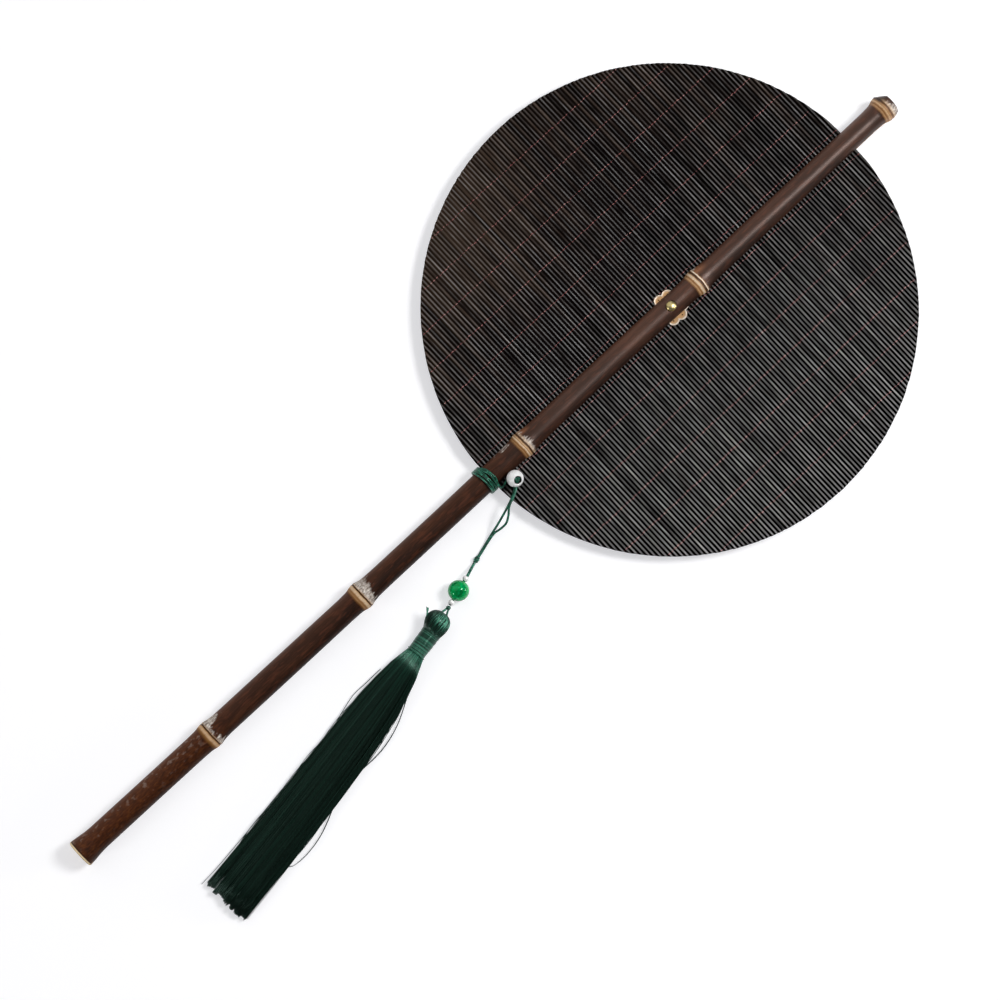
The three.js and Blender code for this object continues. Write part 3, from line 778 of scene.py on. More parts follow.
def sheaf_place(across, over, s):
    """Where a thread of the sheaf runs, s below the neck. across and over are from -1 to 1."""
    bound = np.exp(-s / skirt_spread)
    top_width = 2 * neck_radius[1] - neck_squeeze
    width = skirt_width + (top_width - skirt_width) * bound
    thickness = skirt_thickness + (top_width - skirt_thickness) * bound
    middle = skirt_thickness / 2 + (neck_z - skirt_thickness / 2) * bound
    bow = skirt_bow * np.sin(math.pi * np.minimum(s / skirt_length, 1.0) ** 0.9) + neck_offset * bound
    return np.stack([across * width / 2 + bow, skirt_top - s, middle + over * thickness / 2], axis=-1)


def skirt_threads(count):
    """Threads strewn over the sheaf's section, and their tones, with a painted highlight near the neck."""
    made, shades = [], []
    wisp_across = dice.uniform(-1, 1, wisps)
    for _ in range(count):
        over = dice.uniform(-1.0, 1.0)
        across = dice.uniform(-1, 1) * math.sqrt(max(0.0, 1 - over ** 2))
        wisp = wisp_across[np.abs(wisp_across - across).argmin()]
        cut = 1 - cut_unevenness * abs(dice.normal()) - cut_unevenness * abs(math.sin(40 * wisp))
        length = skirt_length * cut + cut_slant * across
        s = np.linspace(0, length, skirt_rings)
        pull = wisp_pull * (s / skirt_length) ** 2
        sway = dice.normal(0, sway_size) * np.sin(s / sway_wave + dice.uniform(0, 6)) * s / skirt_length
        line = sheaf_place(across + (wisp - across) * pull + sway, over, s)
        line[:, 2] = np.maximum(line[:, 2], skirt_thread / 2)
        made.append(tube(hang(line), skirt_thread / 2, skirt_sides))
        tone = np.clip(dice.normal(0.27, 0.2), 0.0, 0.48)
        # painted highlight: tones are lifted just below the neck and fade over some millimetres
        shades.append(np.clip(tone + painted_neck_highlight * np.exp(-s / neck_highlight_fade), 0.0, 1.0))
    return made, shades


tubes, tones = skirt_threads(skirt_count)
make_piece("tassel_skirt_threads", skin(tubes), "tassel", silk, ["tassel_skirt"],
           marks={"thread_tone": thread_tones(tubes, tones)})

# %% [markdown]
# A few threads have slipped out of the sheaf, as on any tassel that has been handled, and a small tuft
# stands where the head was tied off. Noise on the sheaf would only roughen its edge, so the strays are
# threads of their own: four pairs lie in long curves, point by point, and the others are strewn along
# both edges.

# %% Stray threads
stray_thread = 0.3
stray_lines = [
    [(-8.3, -40.0), (-9.9, -50.0), (-11.1, -58.3), (-9.9, -71.3), (-8.8, -77.3)],
    [(9.2, -42.0), (13.9, -56.8), (15.1, -69.8), (13.4, -81.4), (12.4, -86.0)],
    [(12.6, -102.0), (16.3, -117.1), (16.6, -128.9), (14.5, -137.4), (11.4, -138.0)],
    [(-11.0, -112.0), (-11.8, -134.9), (-12.3, -145.5), (-13.0, -158.1), (-14.0, -168.2)],
]
threads_per_line = 2
line_step = 2.0
line_scatter = 0.25
strays = 14
stray_tones = (0.1, 0.4)
stray_starts = (15, 105)
stray_lengths = (18, 42)
stray_bulges = (0.03, 0.1)
tuft_threads = 18
tuft_step = 0.8
tuft_lengths = (3.5, 4.3)
tuft_tones = (0.75, 1.0)
dice = np.random.default_rng(14)
tubes, tones = [], []
for line in stray_lines:
    for _ in range(threads_per_line):
        shift = dice.normal(0, line_scatter, 2)
        points = [(x + shift[0], y + shift[1], 1.0 + 0.6 * dice.uniform()) for x, y in line]
        tubes.append(tube(hang(smooth_route(points, line_step)), stray_thread / 2, thread_sides))
        tones.append(dice.uniform(*stray_tones))
for _ in range(strays):
    side = dice.choice([-1.0, 1.0])
    start = dice.uniform(*stray_starts)
    length = dice.uniform(*stray_lengths)
    out = dice.uniform(*stray_bulges)
    t = np.linspace(0, 1, 12)
    across = side * (0.97 + out * np.sin(math.pi * t))
    line = sheaf_place(across, dice.uniform(-0.3, 0.5), start + length * t)
    line[:, 2] = np.maximum(line[:, 2], stray_thread / 2)
    tubes.append(tube(hang(line), stray_thread / 2, thread_sides))
    tones.append(dice.uniform(*stray_tones))
tuft_root = np.array([-5.6, -8.2, 7.6])
tuft_way = np.array([-0.54, 0.84, 0.05])
for _ in range(tuft_threads):
    flare = dice.normal(0, 0.35, 3)
    tip = tuft_root + tuft_way * dice.uniform(*tuft_lengths) + flare
    root = tuft_root + dice.normal(0, 0.2, 3)
    bend = (root + tip) / 2 + dice.normal(0, 0.1, 3) - 0.3 * flare
    tubes.append(tube(hang(smooth_route([root, bend, tip], tuft_step)), stray_thread / 2, thread_sides))
    tones.append(dice.uniform(*tuft_tones))
make_piece("stray_threads", skin(tubes), "tassel", silk,
           marks={"thread_tone": thread_tones(tubes, tones)})

# %% [markdown]
# The handle is one culm of dark bamboo, sawn open from its tip so that the mat slips in. A culm is a tube
# that swells at each node: first the sheath's ring, then a groove, then a ridge. A straight tube with
# rings on it would show seams, so the whole outline is one profile, from butt to tip.

# %% Bamboo culm, shape
internodes = [  # from the butt: length, thickness, and thickness of the node at its upper end
    (81.1, 11.8, 13.4),
    (94.2, 11.6, 13.8),
    (103.3, 11.4, 13.4),
    (112.1, 11.4, 13.2),
    (121.7, 11.1, 14.0),
]
culm_sides = 64
butt_y = -258.2
tip_y = 258.2
butt_radius = 6.9
butt_chamfer = 0.5
butt_flare = (1.6, 10)
tip_radius = 6.4
tip_fillet = 1.4
axis_z = 7.0
mat_y = 114.3
culm_bow = 0.9
culm_step = 4.0
steps_near_node = [(-10, 10, 1.0), (-5.0, 3.2, 0.2)]  # start, end and step
node_ys = butt_y + np.cumsum([length for length, _, _ in internodes])
near_node = [  # distance above the groove, share of the node's swelling, and depth of the groove
    (-10.0, 0.0, 0.0), (-5.0, 0.18, 0.0), (-3.5, 0.42, 0.0), (-2.4, 0.72, 0.0), (-1.2, 0.92, 0.0),
    (-0.65, 1.0, 0.0), (-0.45, 1.0, -0.2), (0.05, 1.0, -0.2), (0.25, 1.0, 0.0), (1.0, 0.85, 0.0),
    (2.0, 0.6, 0.0), (3.5, 0.3, 0.0), (6.0, 0.08, 0.0), (10.0, 0.0, 0.0),
]


def bow_at(y):
    """How far the culm bends to the side at y."""
    return culm_bow * ((mat_y / tip_y) ** 2 - (y / tip_y) ** 2)


def culm_outline():
    """(radius, y) of the culm from butt to tip, close together at the nodes."""
    knots = [
        (butt_y, butt_radius - butt_chamfer),
        (butt_y + butt_chamfer, butt_radius),
        (butt_y + butt_flare[0], butt_radius),
        (butt_y + butt_flare[1], internodes[0][1] / 2),
    ]
    radii = [diameter / 2 for _, diameter, _ in internodes] + [tip_radius]
    for i, (node_y, (_, _, node_diameter)) in enumerate(zip(node_ys, internodes)):
        for gap, share, extra in near_node:
            base = radii[i] if gap < 0 else radii[i + 1]
            knots.append((node_y + gap, base + (node_diameter / 2 - base) * share + extra))
    knots = [knot for knot in knots if knot[0] < tip_y - tip_fillet]
    knots.append((tip_y - tip_fillet, tip_radius))
    ys = [np.arange(butt_y, tip_y - tip_fillet, culm_step), [butt_y + butt_chamfer]]
    for node_y in [butt_y, *node_ys]:
        for low, high, step in steps_near_node:
            ys.append(np.arange(node_y + low, node_y + high, step))
    ys = np.unique(np.round(np.concatenate(ys), 3))
    ys = ys[(ys >= butt_y) & (ys <= tip_y - tip_fillet)]
    radii = np.interp(ys, *np.array(knots).T)
    corner = np.linspace(0, math.pi / 2, 9)
    edge = [
        (tip_radius - tip_fillet * (1 - math.cos(a)), tip_y - tip_fillet * (1 - math.sin(a)))
        for a in corner
    ]
    return [(0.0, butt_y), *zip(radii, ys), *edge, (0.0, tip_y)]


print("nodes at", np.round(node_ys, 1), "mm")

# %% [markdown]
# No culm is quite round or straight, and this one's tip is worn off slantwise on its left. A turned shape
# alone looks like machine work, so its points are moved: by slow waves along and round the culm, by a
# slight bow and lean, and down to the slant at the tip.

# %% Bamboo culm, unevenness
worn_from = 253.4
worn_corner = (-7.6, 253.6)
worn_slope = 0.98
least_kept = 0.04
lean_ys = [-258, -190, -30, 0, 20, 60, 100, 132]
lean_shifts = [0.3, 0.3, 0.3, 0.15, 0, -0.35, -0.35, 0]


def uneven_culm(points):
    """The turned culm's points, moved to where a grown culm has them."""
    x, y, z = points.T
    turn = np.arctan2(x, z)
    swell = 1 + 0.008 * np.sin(y / 23 + 1.0)
    swell = swell + 0.010 * np.cos(2 * turn + y / 60) + 0.006 * np.sin(3 * turn - y / 41)
    lean = np.interp(y, lean_ys, lean_shifts)
    slant = worn_corner[1] + worn_slope * (x - worn_corner[0])
    kept = np.clip((slant - worn_from) / (tip_y - worn_from), least_kept, 1.0)
    y = np.where(y > worn_from, worn_from + (y - worn_from) * kept, y)
    return np.stack([x * swell + bow_at(y) + lean, y, z * swell + axis_z], axis=1)


points, faces = lathe(culm_outline(), culm_sides, y_up, np.zeros(3))
culm_shape = (uneven_culm(points), faces)
print("culm:", len(points), "points")

# %% [markdown]
# The maker saws and drills, and Blender's Boolean modifier with its exact solver does the same. Faces
# could be laid round each hole by hand, but a cutter says plainly what was taken away. Cutters that don't
# touch each other are joined into one mesh first, and the result is stored, so that no modifier stays on
# the piece.

# %% Cutting
def joined(shapes):
    """Several shapes as one."""
    points, faces = [], []
    for shape_points, shape_faces in shapes:
        start = sum(len(p) for p in points)
        points.append(shape_points)
        faces += [[i + start for i in face] for face in shape_faces]
    return np.vstack(points), faces


def bare_object(name, shape):
    """A shape as an object with its faces turned outwards, to cut or to cut with."""
    points, faces = shape
    mesh = bpy.data.meshes.new(name)
    mesh.from_pydata(np.asarray(points) * MM, [], faces)
    made = bmesh.new()
    made.from_mesh(mesh)
    bmesh.ops.recalc_face_normals(made, faces=made.faces)
    made.to_mesh(mesh)
    made.free()
    thing = bpy.data.objects.new(name, mesh)
    scene.collection.objects.link(thing)
    return thing


def cut_away(shape, cutters):
    """What is left of a shape without the cutters, as points in mm and faces."""
    whole = bare_object("whole", shape)
    for i, cutter in enumerate(cutters):
        tool = bare_object(f"cutter_{i}", cutter)
        cut = whole.modifiers.new(tool.name, "BOOLEAN")
        cut.operation = "DIFFERENCE"
        cut.solver = "EXACT"
        cut.object = tool
    left = bpy.data.meshes.new_from_object(whole.evaluated_get(bpy.context.evaluated_depsgraph_get()))
    points = np.array([v.co for v in left.vertices]) / MM
    faces = [list(face.vertices) for face in left.polygons]
    for thing in [whole] + [o for o in scene.objects if o.name.startswith("cutter_")]:
        bpy.data.objects.remove(thing)
    bpy.data.meshes.remove(left)
    return points, faces


def brick(low, high):
    """A box between two corners."""
    points = np.array([
        (x, y, z) for x in (low[0], high[0]) for y in (low[1], high[1]) for z in (low[2], high[2])
    ])
    faces = [[0, 1, 3, 2], [4, 6, 7, 5], [0, 4, 5, 1], [2, 3, 7, 6], [0, 2, 6, 4], [1, 5, 7, 3]]
    return points, faces


print("a block has", len(brick((0, 0, 0), (1, 1, 1))[1]), "faces")

# %% [markdown]
# Four things are cut from the culm: the kerf that takes the mat, the hollows of the internodes that kerf
# and butt lay open, the rivet's hole, and a flat seat on each side for its head and cap. A closed
# internode could be hollow too, but nobody sees into it, so it is left solid.

# %% Kerf, hollows and holes
kerf_half = 1.7
kerf_end = -3.0
culm_wall = 2.6
septum = 6.0
rivet_height = 5.7
seat_depth = 0.6
seat_radius = 2.8
shank_hole_radius = 1.3
past_culm = 12.0
past_tip = 4.0
bore_sides = 32
round_sides = 40
z_up = (0.0, 0.0, 1.0)
rivet_place = np.array([0.0, mat_y, axis_z])

kerf = brick((-past_culm, kerf_end, axis_z - kerf_half), (past_culm, tip_y + past_tip, axis_z + kerf_half))
hollows = []
for i, (_, diameter, _) in enumerate(internodes):
    roof = node_ys[i] - septum / 2
    ground = butt_y - septum if i == 0 else node_ys[i - 1] + septum / 2
    radius = diameter / 2 - culm_wall
    if i == 0 or roof > kerf_end:
        bore = [(0.0, ground), (radius, ground + radius), (radius, roof - radius), (0.0, roof)]
        points, faces = lathe(bore, bore_sides, y_up, np.zeros(3))
        sideways = bow_at(points[:, 1])
        shift = np.stack([sideways, np.zeros_like(sideways), np.full_like(sideways, axis_z)], axis=1)
        hollows.append((points + shift, faces))


def peg(radius, low, high):
    """The outline of a round peg."""
    return [(0.0, low), (radius, low), (radius, high), (0.0, high)]


shank_hole = lathe(peg(shank_hole_radius, -past_culm, past_culm), bore_sides, z_up, rivet_place)
seat = peg(seat_radius, rivet_height - seat_depth, past_culm)
seats = [lathe([(r, sign * z) for r, z in seat], round_sides, z_up, rivet_place) for sign in (1, -1)]
culm_points, culm_faces = cut_away(culm_shape, [kerf, joined(hollows), shank_hole, joined(seats)])
print("culm cut:", len(culm_faces), "faces")

# %% [markdown]
# Dark bamboo is sun-dried and oiled: a waxy, half glossy skin with fine lengthwise fibres and reddish
# clouds. Each node carries what the leaf sheath left: below the groove cream and tan bands, above it a
# pale line and torn patches of grey wax. No two nodes are alike, so the tone of the bands, and how deep a
# point lies in a wax patch, are stored on the points, and the shader gives them their colours.

# %% Dark bamboo
warm_strength = 0.75
painted_light_strength = 0.4
painted_shade_strength = 0.6
bamboo, tree = new_material("oiled_dark_bamboo")
place = add_node(tree, "TexCoord").outputs["Object"]
marks_of = {
    mark: add_node(tree, "Attribute", attribute_name=mark).outputs["Fac"]
    for mark in ("band", "band_part", "wax", "from_butt", "warm", "specks", "scorch", "oiled", "painted_light_side",
                 "painted_shade_side", "rust")
}


def stretched_noise(tree, across, along, detail=4.0, seed=0.0):
    """Noise with features of these sizes in mm, drawn out along the culm."""
    spots = add_node(tree, "Mapping", {"Vector": place, "Location": (seed, seed, seed),
                                       "Scale": per_mm(across, along, across)})
    noise = add_node(tree, "TexNoise", {"Vector": spots.outputs[0], "Scale": 1.0, "Detail": detail})
    return noise.outputs["Fac"]


def over(tree, under, colour, part):
    """A colour laid over another one where part is 1."""
    mix = add_node(tree, "Mix", {FACTOR: part, COLOUR_A: under, COLOUR_B: colour}, data_type="RGBA")
    return mix.outputs[MIXED]


def product(tree, first, second):
    """One number times another."""
    return add_node(tree, "Math", {0: first, 1: second}, operation="MULTIPLY").outputs[0]


print("the skin reads", len(marks_of), "marks")

# %% [markdown]
# The skin's colours lie over each other like washes: a brown that drifts in long clouds, dark fibres, red
# streaks, a mottled grip, a left side painted lighter and greyer as painted light, a right side painted
# darker as painted shade, and specks of wear. One noise with many colours would give them all the same
# grain.

# %% Dark bamboo, skin
fibre = stretched_noise(tree, across=0.35, along=24, detail=3.0)
cloud = stretched_noise(tree, across=7, along=34, detail=3.0, seed=4.0)
mottle = stretched_noise(tree, across=0.9, along=3.0, seed=5.0)
skin_tone = add_node(tree, "ValToRGB", {"Fac": cloud},
                     stops=[(0.28, "#1b100b"), (0.46, "#2b1911"), (0.60, "#3c2317"), (0.74, "#533220")])
fibre_dark = add_node(tree, "MapRange", {"Value": fibre, "From Min": 0.35, "From Max": 0.7, "To Max": 0.6})
skin_colour = over(tree, skin_tone.outputs[0], "#150a06", fibre_dark.outputs[0])
ruddy = stretched_noise(tree, across=1.1, along=6.0, detail=5.0, seed=7.0)
ruddy_part = add_node(tree, "MapRange", {"Value": ruddy, "From Min": 0.48, "From Max": 0.68, "To Max": 0.6})
skin_colour = over(tree, skin_colour, "#5a3120", ruddy_part.outputs[0])
grip_tone = add_node(tree, "ValToRGB", {"Fac": mottle},
                     stops=[(0.30, "#2c1406"), (0.50, "#48220b"), (0.70, "#643615")])
skin_colour = over(tree, skin_colour, grip_tone.outputs[0], product(tree, marks_of["warm"], warm_strength))
# painted light: the side that faces the window is painted lighter and greyer
skin_colour = over(tree, skin_colour, "#7c5340", product(tree, marks_of["painted_light_side"], painted_light_strength))
# painted shade: the side turned away from the window is painted darker
skin_colour = over(tree, skin_colour, "#120905", product(tree, marks_of["painted_shade_side"], painted_shade_strength))
skin_colour = over(tree, skin_colour, "#a06a48", marks_of["rust"])
wear = stretched_noise(tree, across=2.0, along=3.0, seed=9.0)
wear_level = add_node(tree, "MapRange", {"Value": wear, "From Min": 0.55, "From Max": 0.72, "To Max": 0.45})
skin_colour = over(tree, skin_colour, "#b3a094", product(tree, wear_level.outputs[0], marks_of["specks"]))
print("skin:", len(tree.nodes), "nodes so far")

# %% [markdown]
# Over the skin lie the marks: the wax, the bands of the nodes, the scorched tip and the pale ring at the
# sawn butt. A hard mask would end the wax like tape, so noise moves its edge by some millimetres, and it
# ends in torn tongues.

# %% Dark bamboo, wax and bands
band_tones = [(0.0, "#1a0e09"), (0.30, "#84592f"), (0.55, "#bd9368"), (0.80, "#dcbf9c"), (1.0, "#f4e8da")]
band = add_node(tree, "ValToRGB", {"Fac": marks_of["band"]}, stops=band_tones)
streak = add_node(tree, "MapRange", {"Value": fibre, "From Min": 0.45, "From Max": 0.75, "To Max": 0.35})
streaked = over(tree, band.outputs[0], "#5a3c20", streak.outputs[0])

tear = stretched_noise(tree, across=1.3, along=3.0, detail=3.0, seed=6.0)
tear_mm = add_node(tree, "MapRange", {
    "Value": tear, "From Min": 0.25, "From Max": 0.75, "To Min": -3.4, "To Max": 1.2})
deep = add_node(tree, "Math", {0: marks_of["wax"], 1: tear_mm.outputs[0]}, operation="ADD")
wax_part = add_node(tree, "MapRange", {"Value": deep.outputs[0], "From Min": -0.8, "From Max": 1.3})
wax_cloud = stretched_noise(tree, across=0.8, along=1.6, seed=3.0)
wax = add_node(tree, "ValToRGB", {"Fac": wax_cloud},
               stops=[(0.30, "#7d6e65"), (0.45, "#a69a91"), (0.58, "#cfc6bd"), (0.72, "#f0e9e0")])
skin_colour = over(tree, skin_colour, wax.outputs[0], wax_part.outputs[0])
skin_colour = over(tree, skin_colour, streaked, marks_of["band_part"])
skin_colour = over(tree, skin_colour, "#2b2624", marks_of["scorch"])

butt_reach = 2.0
butt_share = add_node(tree, "Math", {0: marks_of["from_butt"], 1: butt_reach}, operation="DIVIDE")
butt_ring = add_node(tree, "ValToRGB", {"Fac": butt_share.outputs[0]},
                     stops=[(0.45, "#e8d0a8"), (0.55, "#2a180f"), (0.70, "#2a180f"), (0.85, "#4a2c1a")])
butt_part = add_node(tree, "ValToRGB", {"Fac": butt_share.outputs[0]},
                     stops=[(0.62, "#ffffff"), (0.95, "#000000")])
skin_colour = over(tree, skin_colour, butt_ring.outputs[0], butt_part.outputs[0])
print("with its marks:", len(tree.nodes), "nodes")

# %% [markdown]
# The handle's upper half is oiled and shines, the grip is dull from use, and wax is always dull. A clear
# coat could stand for the oil, but oil soaks in, so it makes the skin itself a little smoother and more
# mirror-like.

# %% Dark bamboo, gloss
gloss = add_node(tree, "MapRange", {"Value": marks_of["oiled"], "To Min": 0.5, "To Max": 0.4})
dull = add_node(tree, "MapRange", {"Value": wax_part.outputs[0], "To Min": 0.0, "To Max": 0.3})
roughness = add_node(tree, "Math", {0: gloss.outputs[0], 1: dull.outputs[0]}, operation="ADD")
bump = add_node(tree, "Bump", {"Height": fibre, "Strength": 0.2, "Distance": 0.1 * MM})
sheen = add_node(tree, "MapRange", {"Value": marks_of["oiled"], "To Min": 0.15, "To Max": 0.6})
oiled = add_node(tree, "BsdfPrincipled", {
    "Base Color": skin_colour, "Roughness": roughness.outputs[0], "IOR": 1.5,
    "Specular IOR Level": sheen.outputs[0], "Specular Tint": "#ffe4da", "Normal": bump.outputs["Normal"]})
add_node(tree, "OutputMaterial", {"Surface": oiled.outputs["BSDF"]})
print("material:", bamboo.name, "with", len(tree.nodes), "nodes")

# %% [markdown]
# Where the saw or drill went through, the pale flesh of the bamboo shows: dry, matt and full of fibre
# ends. Rings and pores could be drawn one by one, but these faces are small, so noise that is drawn out
# along the culm is enough.

# %% Sawn bamboo
flesh, tree = new_material("sawn_bamboo")
place = add_node(tree, "TexCoord").outputs["Object"]
fibre = stretched_noise(tree, across=0.4, along=12)
straw = add_node(tree, "ValToRGB", {"Fac": fibre},
                 stops=[(0.3, "#8d6840"), (0.55, "#b99163"), (0.8, "#d6b88d")])
dry = add_node(tree, "BsdfPrincipled", {"Base Color": straw.outputs[0], "Roughness": 0.75, "IOR": 1.5})
add_node(tree, "OutputMaterial", {"Surface": dry.outputs["BSDF"]})
print("material:", flesh.name)

# %% [markdown]
# What the sheaths left is written down as two tables, one row for each node from the butt up. A painted
# image could carry it, but numbers on the mesh's points follow the culm's shape and need no unwrapping.

# %% Tables of the nodes
# How far the wax reaches above the groove, at each angle round the culm.
wax_reaches = [
    [(-90, 8), (-60, 9), (-35, 9), (-20, 3), (0, 2.2), (15, 1.5), (30, 3), (50, 4), (90, 3)],
    [(-90, 7.5), (-60, 7.5), (-30, 6.5), (0, 6), (20, 5.5), (40, 4.6), (60, 4.5), (90, 4)],
    [(-90, 2.5), (-50, 2), (-20, 2.6), (0, 4), (30, 3.2), (60, 2.2), (90, 2)],
    [(-90, 3.5), (-60, 3), (-40, 1.5), (0, 1), (50, 1), (90, 1)],
    [(-90, 0), (-20, 0.5), (0, 3.2), (40, 4.2), (90, 4.2)],
]
# The bands: distance above the groove, tone from dark to white, and cover.
node_bands = [
    [(-4.2, .2, 0), (-3.5, .22, .6), (-3, .3, .9), (-2.5, .35, 1), (-2.1, .6, 1), (-1.5, .72, 1),
     (-1, .62, 1), (-.65, .45, 1), (-.45, .05, 1), (.05, 0, 1), (.2, .55, .6), (.6, .55, .3), (.9, .45, 0)],
    [(-4.7, .25, 0), (-4, .3, .6), (-3.5, .42, 1), (-2.6, .36, 1), (-2.3, .5, 1), (-2, .78, 1),
     (-1.2, .82, 1), (-.8, .7, 1), (-.5, .05, 1), (.05, 0, 1), (.2, .7, .6), (.6, .7, .4), (1, .7, 0)],
    [(-4.7, .2, 0), (-4, .34, .8), (-3.5, .44, 1), (-3.1, .3, 1), (-2.8, .3, 1), (-2.4, .7, 1),
     (-2, .95, 1), (-1.7, .55, 1), (-1.5, .42, 1), (-1.2, .78, 1), (-.9, .6, 1), (-.6, .1, 1),
     (.05, .02, 1), (.3, .6, .5), (.9, .85, .5), (1.3, .7, .2), (1.6, .6, 0)],
    [(-4.7, .25, 0), (-4, .4, .8), (-3.5, .6, 1), (-3, .38, 1), (-2.6, .32, 1), (-2.2, .78, 1),
     (-1.6, .88, 1), (-1.1, .66, 1), (-.8, .08, 1), (0, .03, 1), (.2, .3, 1), (.42, 1, 1), (.78, 1, 1),
     (1.05, .35, .8), (1.4, .2, .4), (1.8, .3, 0)],
    [(-4.7, .25, 0), (-4, .42, .9), (-3.5, .52, 1), (-3, .28, 1), (-2.6, .42, 1), (-2, .75, 1),
     (-1.6, .46, 1), (-1.1, .55, 1), (-.7, .25, 1), (-.1, .05, 1), (.3, .6, .7), (.8, .85, .5),
     (1.5, .5, .2), (2, .4, 0)],
]
rust_places = [(2, 1.0, 7.0, -30), (3, 1.2, 8.0, -20)]  # node, start and end above it, angle of its edge
ripple_waves = [(3, 0.10), (8, 0.05), (17, 0.03)]  # waves round the culm, and how high they are
print("bands in the tables:", sum(len(bands) for bands in node_bands))

# %% [markdown]
# Each point of the culm looks up its own marks, by how far it lies above a node and by which way it
# faces. It also learns whether its skin is warm from the hand, specked, scorched, oiled or rusty, how
# much painted light its left side takes and how much painted shade its right side takes, and a pale scuff
# lies above the binding on the left. All this could be painted with a brush, but a formula can be read and
# mended.

# %% Bamboo culm, marks
band_reach = 6.0
x, y, z = culm_points.T
turn = np.degrees(np.arctan2(x - bow_at(y), z - axis_z))
facing = np.where(np.abs(turn) > 90, np.sign(turn) * 180 - turn, turn)
far = 15.0
gaps = y[:, None] - node_ys
wax_depth = np.full(len(y), -far)
band_tone = np.zeros(len(y))
band_part = np.zeros(len(y))
for i, (reach, bands) in enumerate(zip(wax_reaches, node_bands)):
    above = gaps[:, i] >= 0
    wax_depth[above] = np.interp(facing, *np.array(reach).T)[above] - gaps[above, i]
    ripple = sum(size * np.sin(np.radians(turn) * k + 2.3 * k + i) for k, size in ripple_waves)
    at, tone, part = np.array(bands).T
    near = np.abs(gaps[:, i]) < band_reach
    band_tone[near] = np.interp(gaps[near, i] + ripple[near], at, tone)
    band_part[near] = np.interp(gaps[near, i] + ripple[near], at, part)
scuff = np.interp(y, [1, 5, 14, 17], [-4, 0.8, 1.3, -4])
scuff += np.interp(facing, [-55, -38, -26], [0, -1.5, -6])
wax_depth = np.maximum(wax_depth, np.where(z > axis_z, scuff, -far))
rust = np.zeros(len(y))
for i, start, end, side in rust_places:
    upward = np.interp(gaps[:, i], [start - 0.5, start, end / 2, end], [0, 0.75, 0.6, 0])
    rust += upward * np.interp(facing, [side - 15, side], [1, 0])
specked = np.interp(y, [node_ys[0], node_ys[0] + 2], [1, 0])
specked *= np.interp(facing, [-80, -50, -15, 30], [0.4, 1, 0.6, 0.1])
culm_marks = {
    "band": band_tone,
    "band_part": band_part,
    "wax": wax_depth.clip(-far, far),
    "from_butt": (y - butt_y).clip(0, far),
    "warm": np.interp(y, [node_ys[0], node_ys[0] + 12], [1, 0]),
    "specks": specked,
    "scorch": np.interp(y, [252.4, 253.4], [0, 0.9]) * np.interp(facing, [-32, -8], [1, 0]),
    "oiled": np.interp(y, [0, 45], [0, 1]),
    # painted light on the left side and painted shade on the right side, set by the way each point faces
    "painted_light_side": np.interp(facing, [-80, 10], [1, 0]),
    "painted_shade_side": np.interp(facing, [10, 70], [0, 1]),
    "rust": rust,
}
print("marks on the culm:", ", ".join(culm_marks))

# %% [markdown]
# The culm becomes a piece with two materials: the oiled skin, and the pale flesh on every face that the
# saw or the drill has made. A face's place tells which it is: at the butt, along the kerf, or well below
# the skin.

# %% Bamboo culm, piece
inside_skin = 0.9
saw_mark = 0.05
handle = make_piece("bamboo_handle", (culm_points, culm_faces), "handle", bamboo,
                    ["handle_culm"], SHARP, culm_marks)
handle.data.materials.append(flesh)
outline = np.array(culm_outline())[1:-1]
for face in handle.data.polygons:
    middle = face.center / MM
    skin_radius = np.interp(middle.y, outline[:, 1], outline[:, 0])
    reach = math.hypot(middle.x - bow_at(middle.y), middle.z - axis_z)
    at_end = middle.y < butt_y + 0.1
    on_kerf = abs(abs(middle.z - axis_z) - kerf_half) < saw_mark
    if at_end or on_kerf or (reach < inside_skin * skin_radius and middle.y < worn_from):
        face.material_index = 1
print("sawn faces:", sum(face.material_index for face in handle.data.polygons))

# %% [markdown]
# The mat is a hundred and more slats of split bamboo, stained nearly black and laid edge to edge. Each
# slat is its own bar, cut off on the circle, with a nearly flat crown that leans a little to one side. So
# the key lamp draws one bright line along each crown, and the grooves stay black, helped by painted shade
# in the stain towards each slat's sides. An array of one bar would look machined: here each slat rolls and
# rises along its length, and its shine comes and goes, which breaks the light into streaks.

# %% Slats, shape
mat_radius = 117.0
slat_pitch = 1.88
slat_step = 5.4
shortest_slat = 3.0
slat_lean = math.radians(-11)
roll_wander = math.radians(3)
roll_spread = math.radians(2.5)
rise_wander = 0.03
deepest_sink = 0.08
wave_sizes = (1.0, 0.61, 0.37, 0.23)
roll_wave = 30
rise_wave = 45
shine_wave = 7
crest_fade = 0.35
left_to_right = [-60, 30]
rim_unevenness = 0.25
crown = [(1.10, 0.0), (0.84, 0.20), (0.68, 0.48), (0.50, 0.66), (0.34, 0.735), (0.20, 0.762), (0.0, 0.768)]
belly = [(-0.84, -0.22), (-0.50, -0.66), (0.0, -0.77), (0.50, -0.66), (0.84, -0.22)]
section = np.array(crown + [(-across, height) for across, height in crown[-2::-1]] + belly)
dice = np.random.default_rng(21)


def wander(x, size, scale):
    """A smooth random line along x, of about this size."""
    phases = dice.uniform(0, 2 * math.pi, len(wave_sizes))
    waves = [np.sin(x / (scale * k) + phase) for k, phase in zip(wave_sizes, phases)]
    return size * np.sum(waves, axis=0) / 2


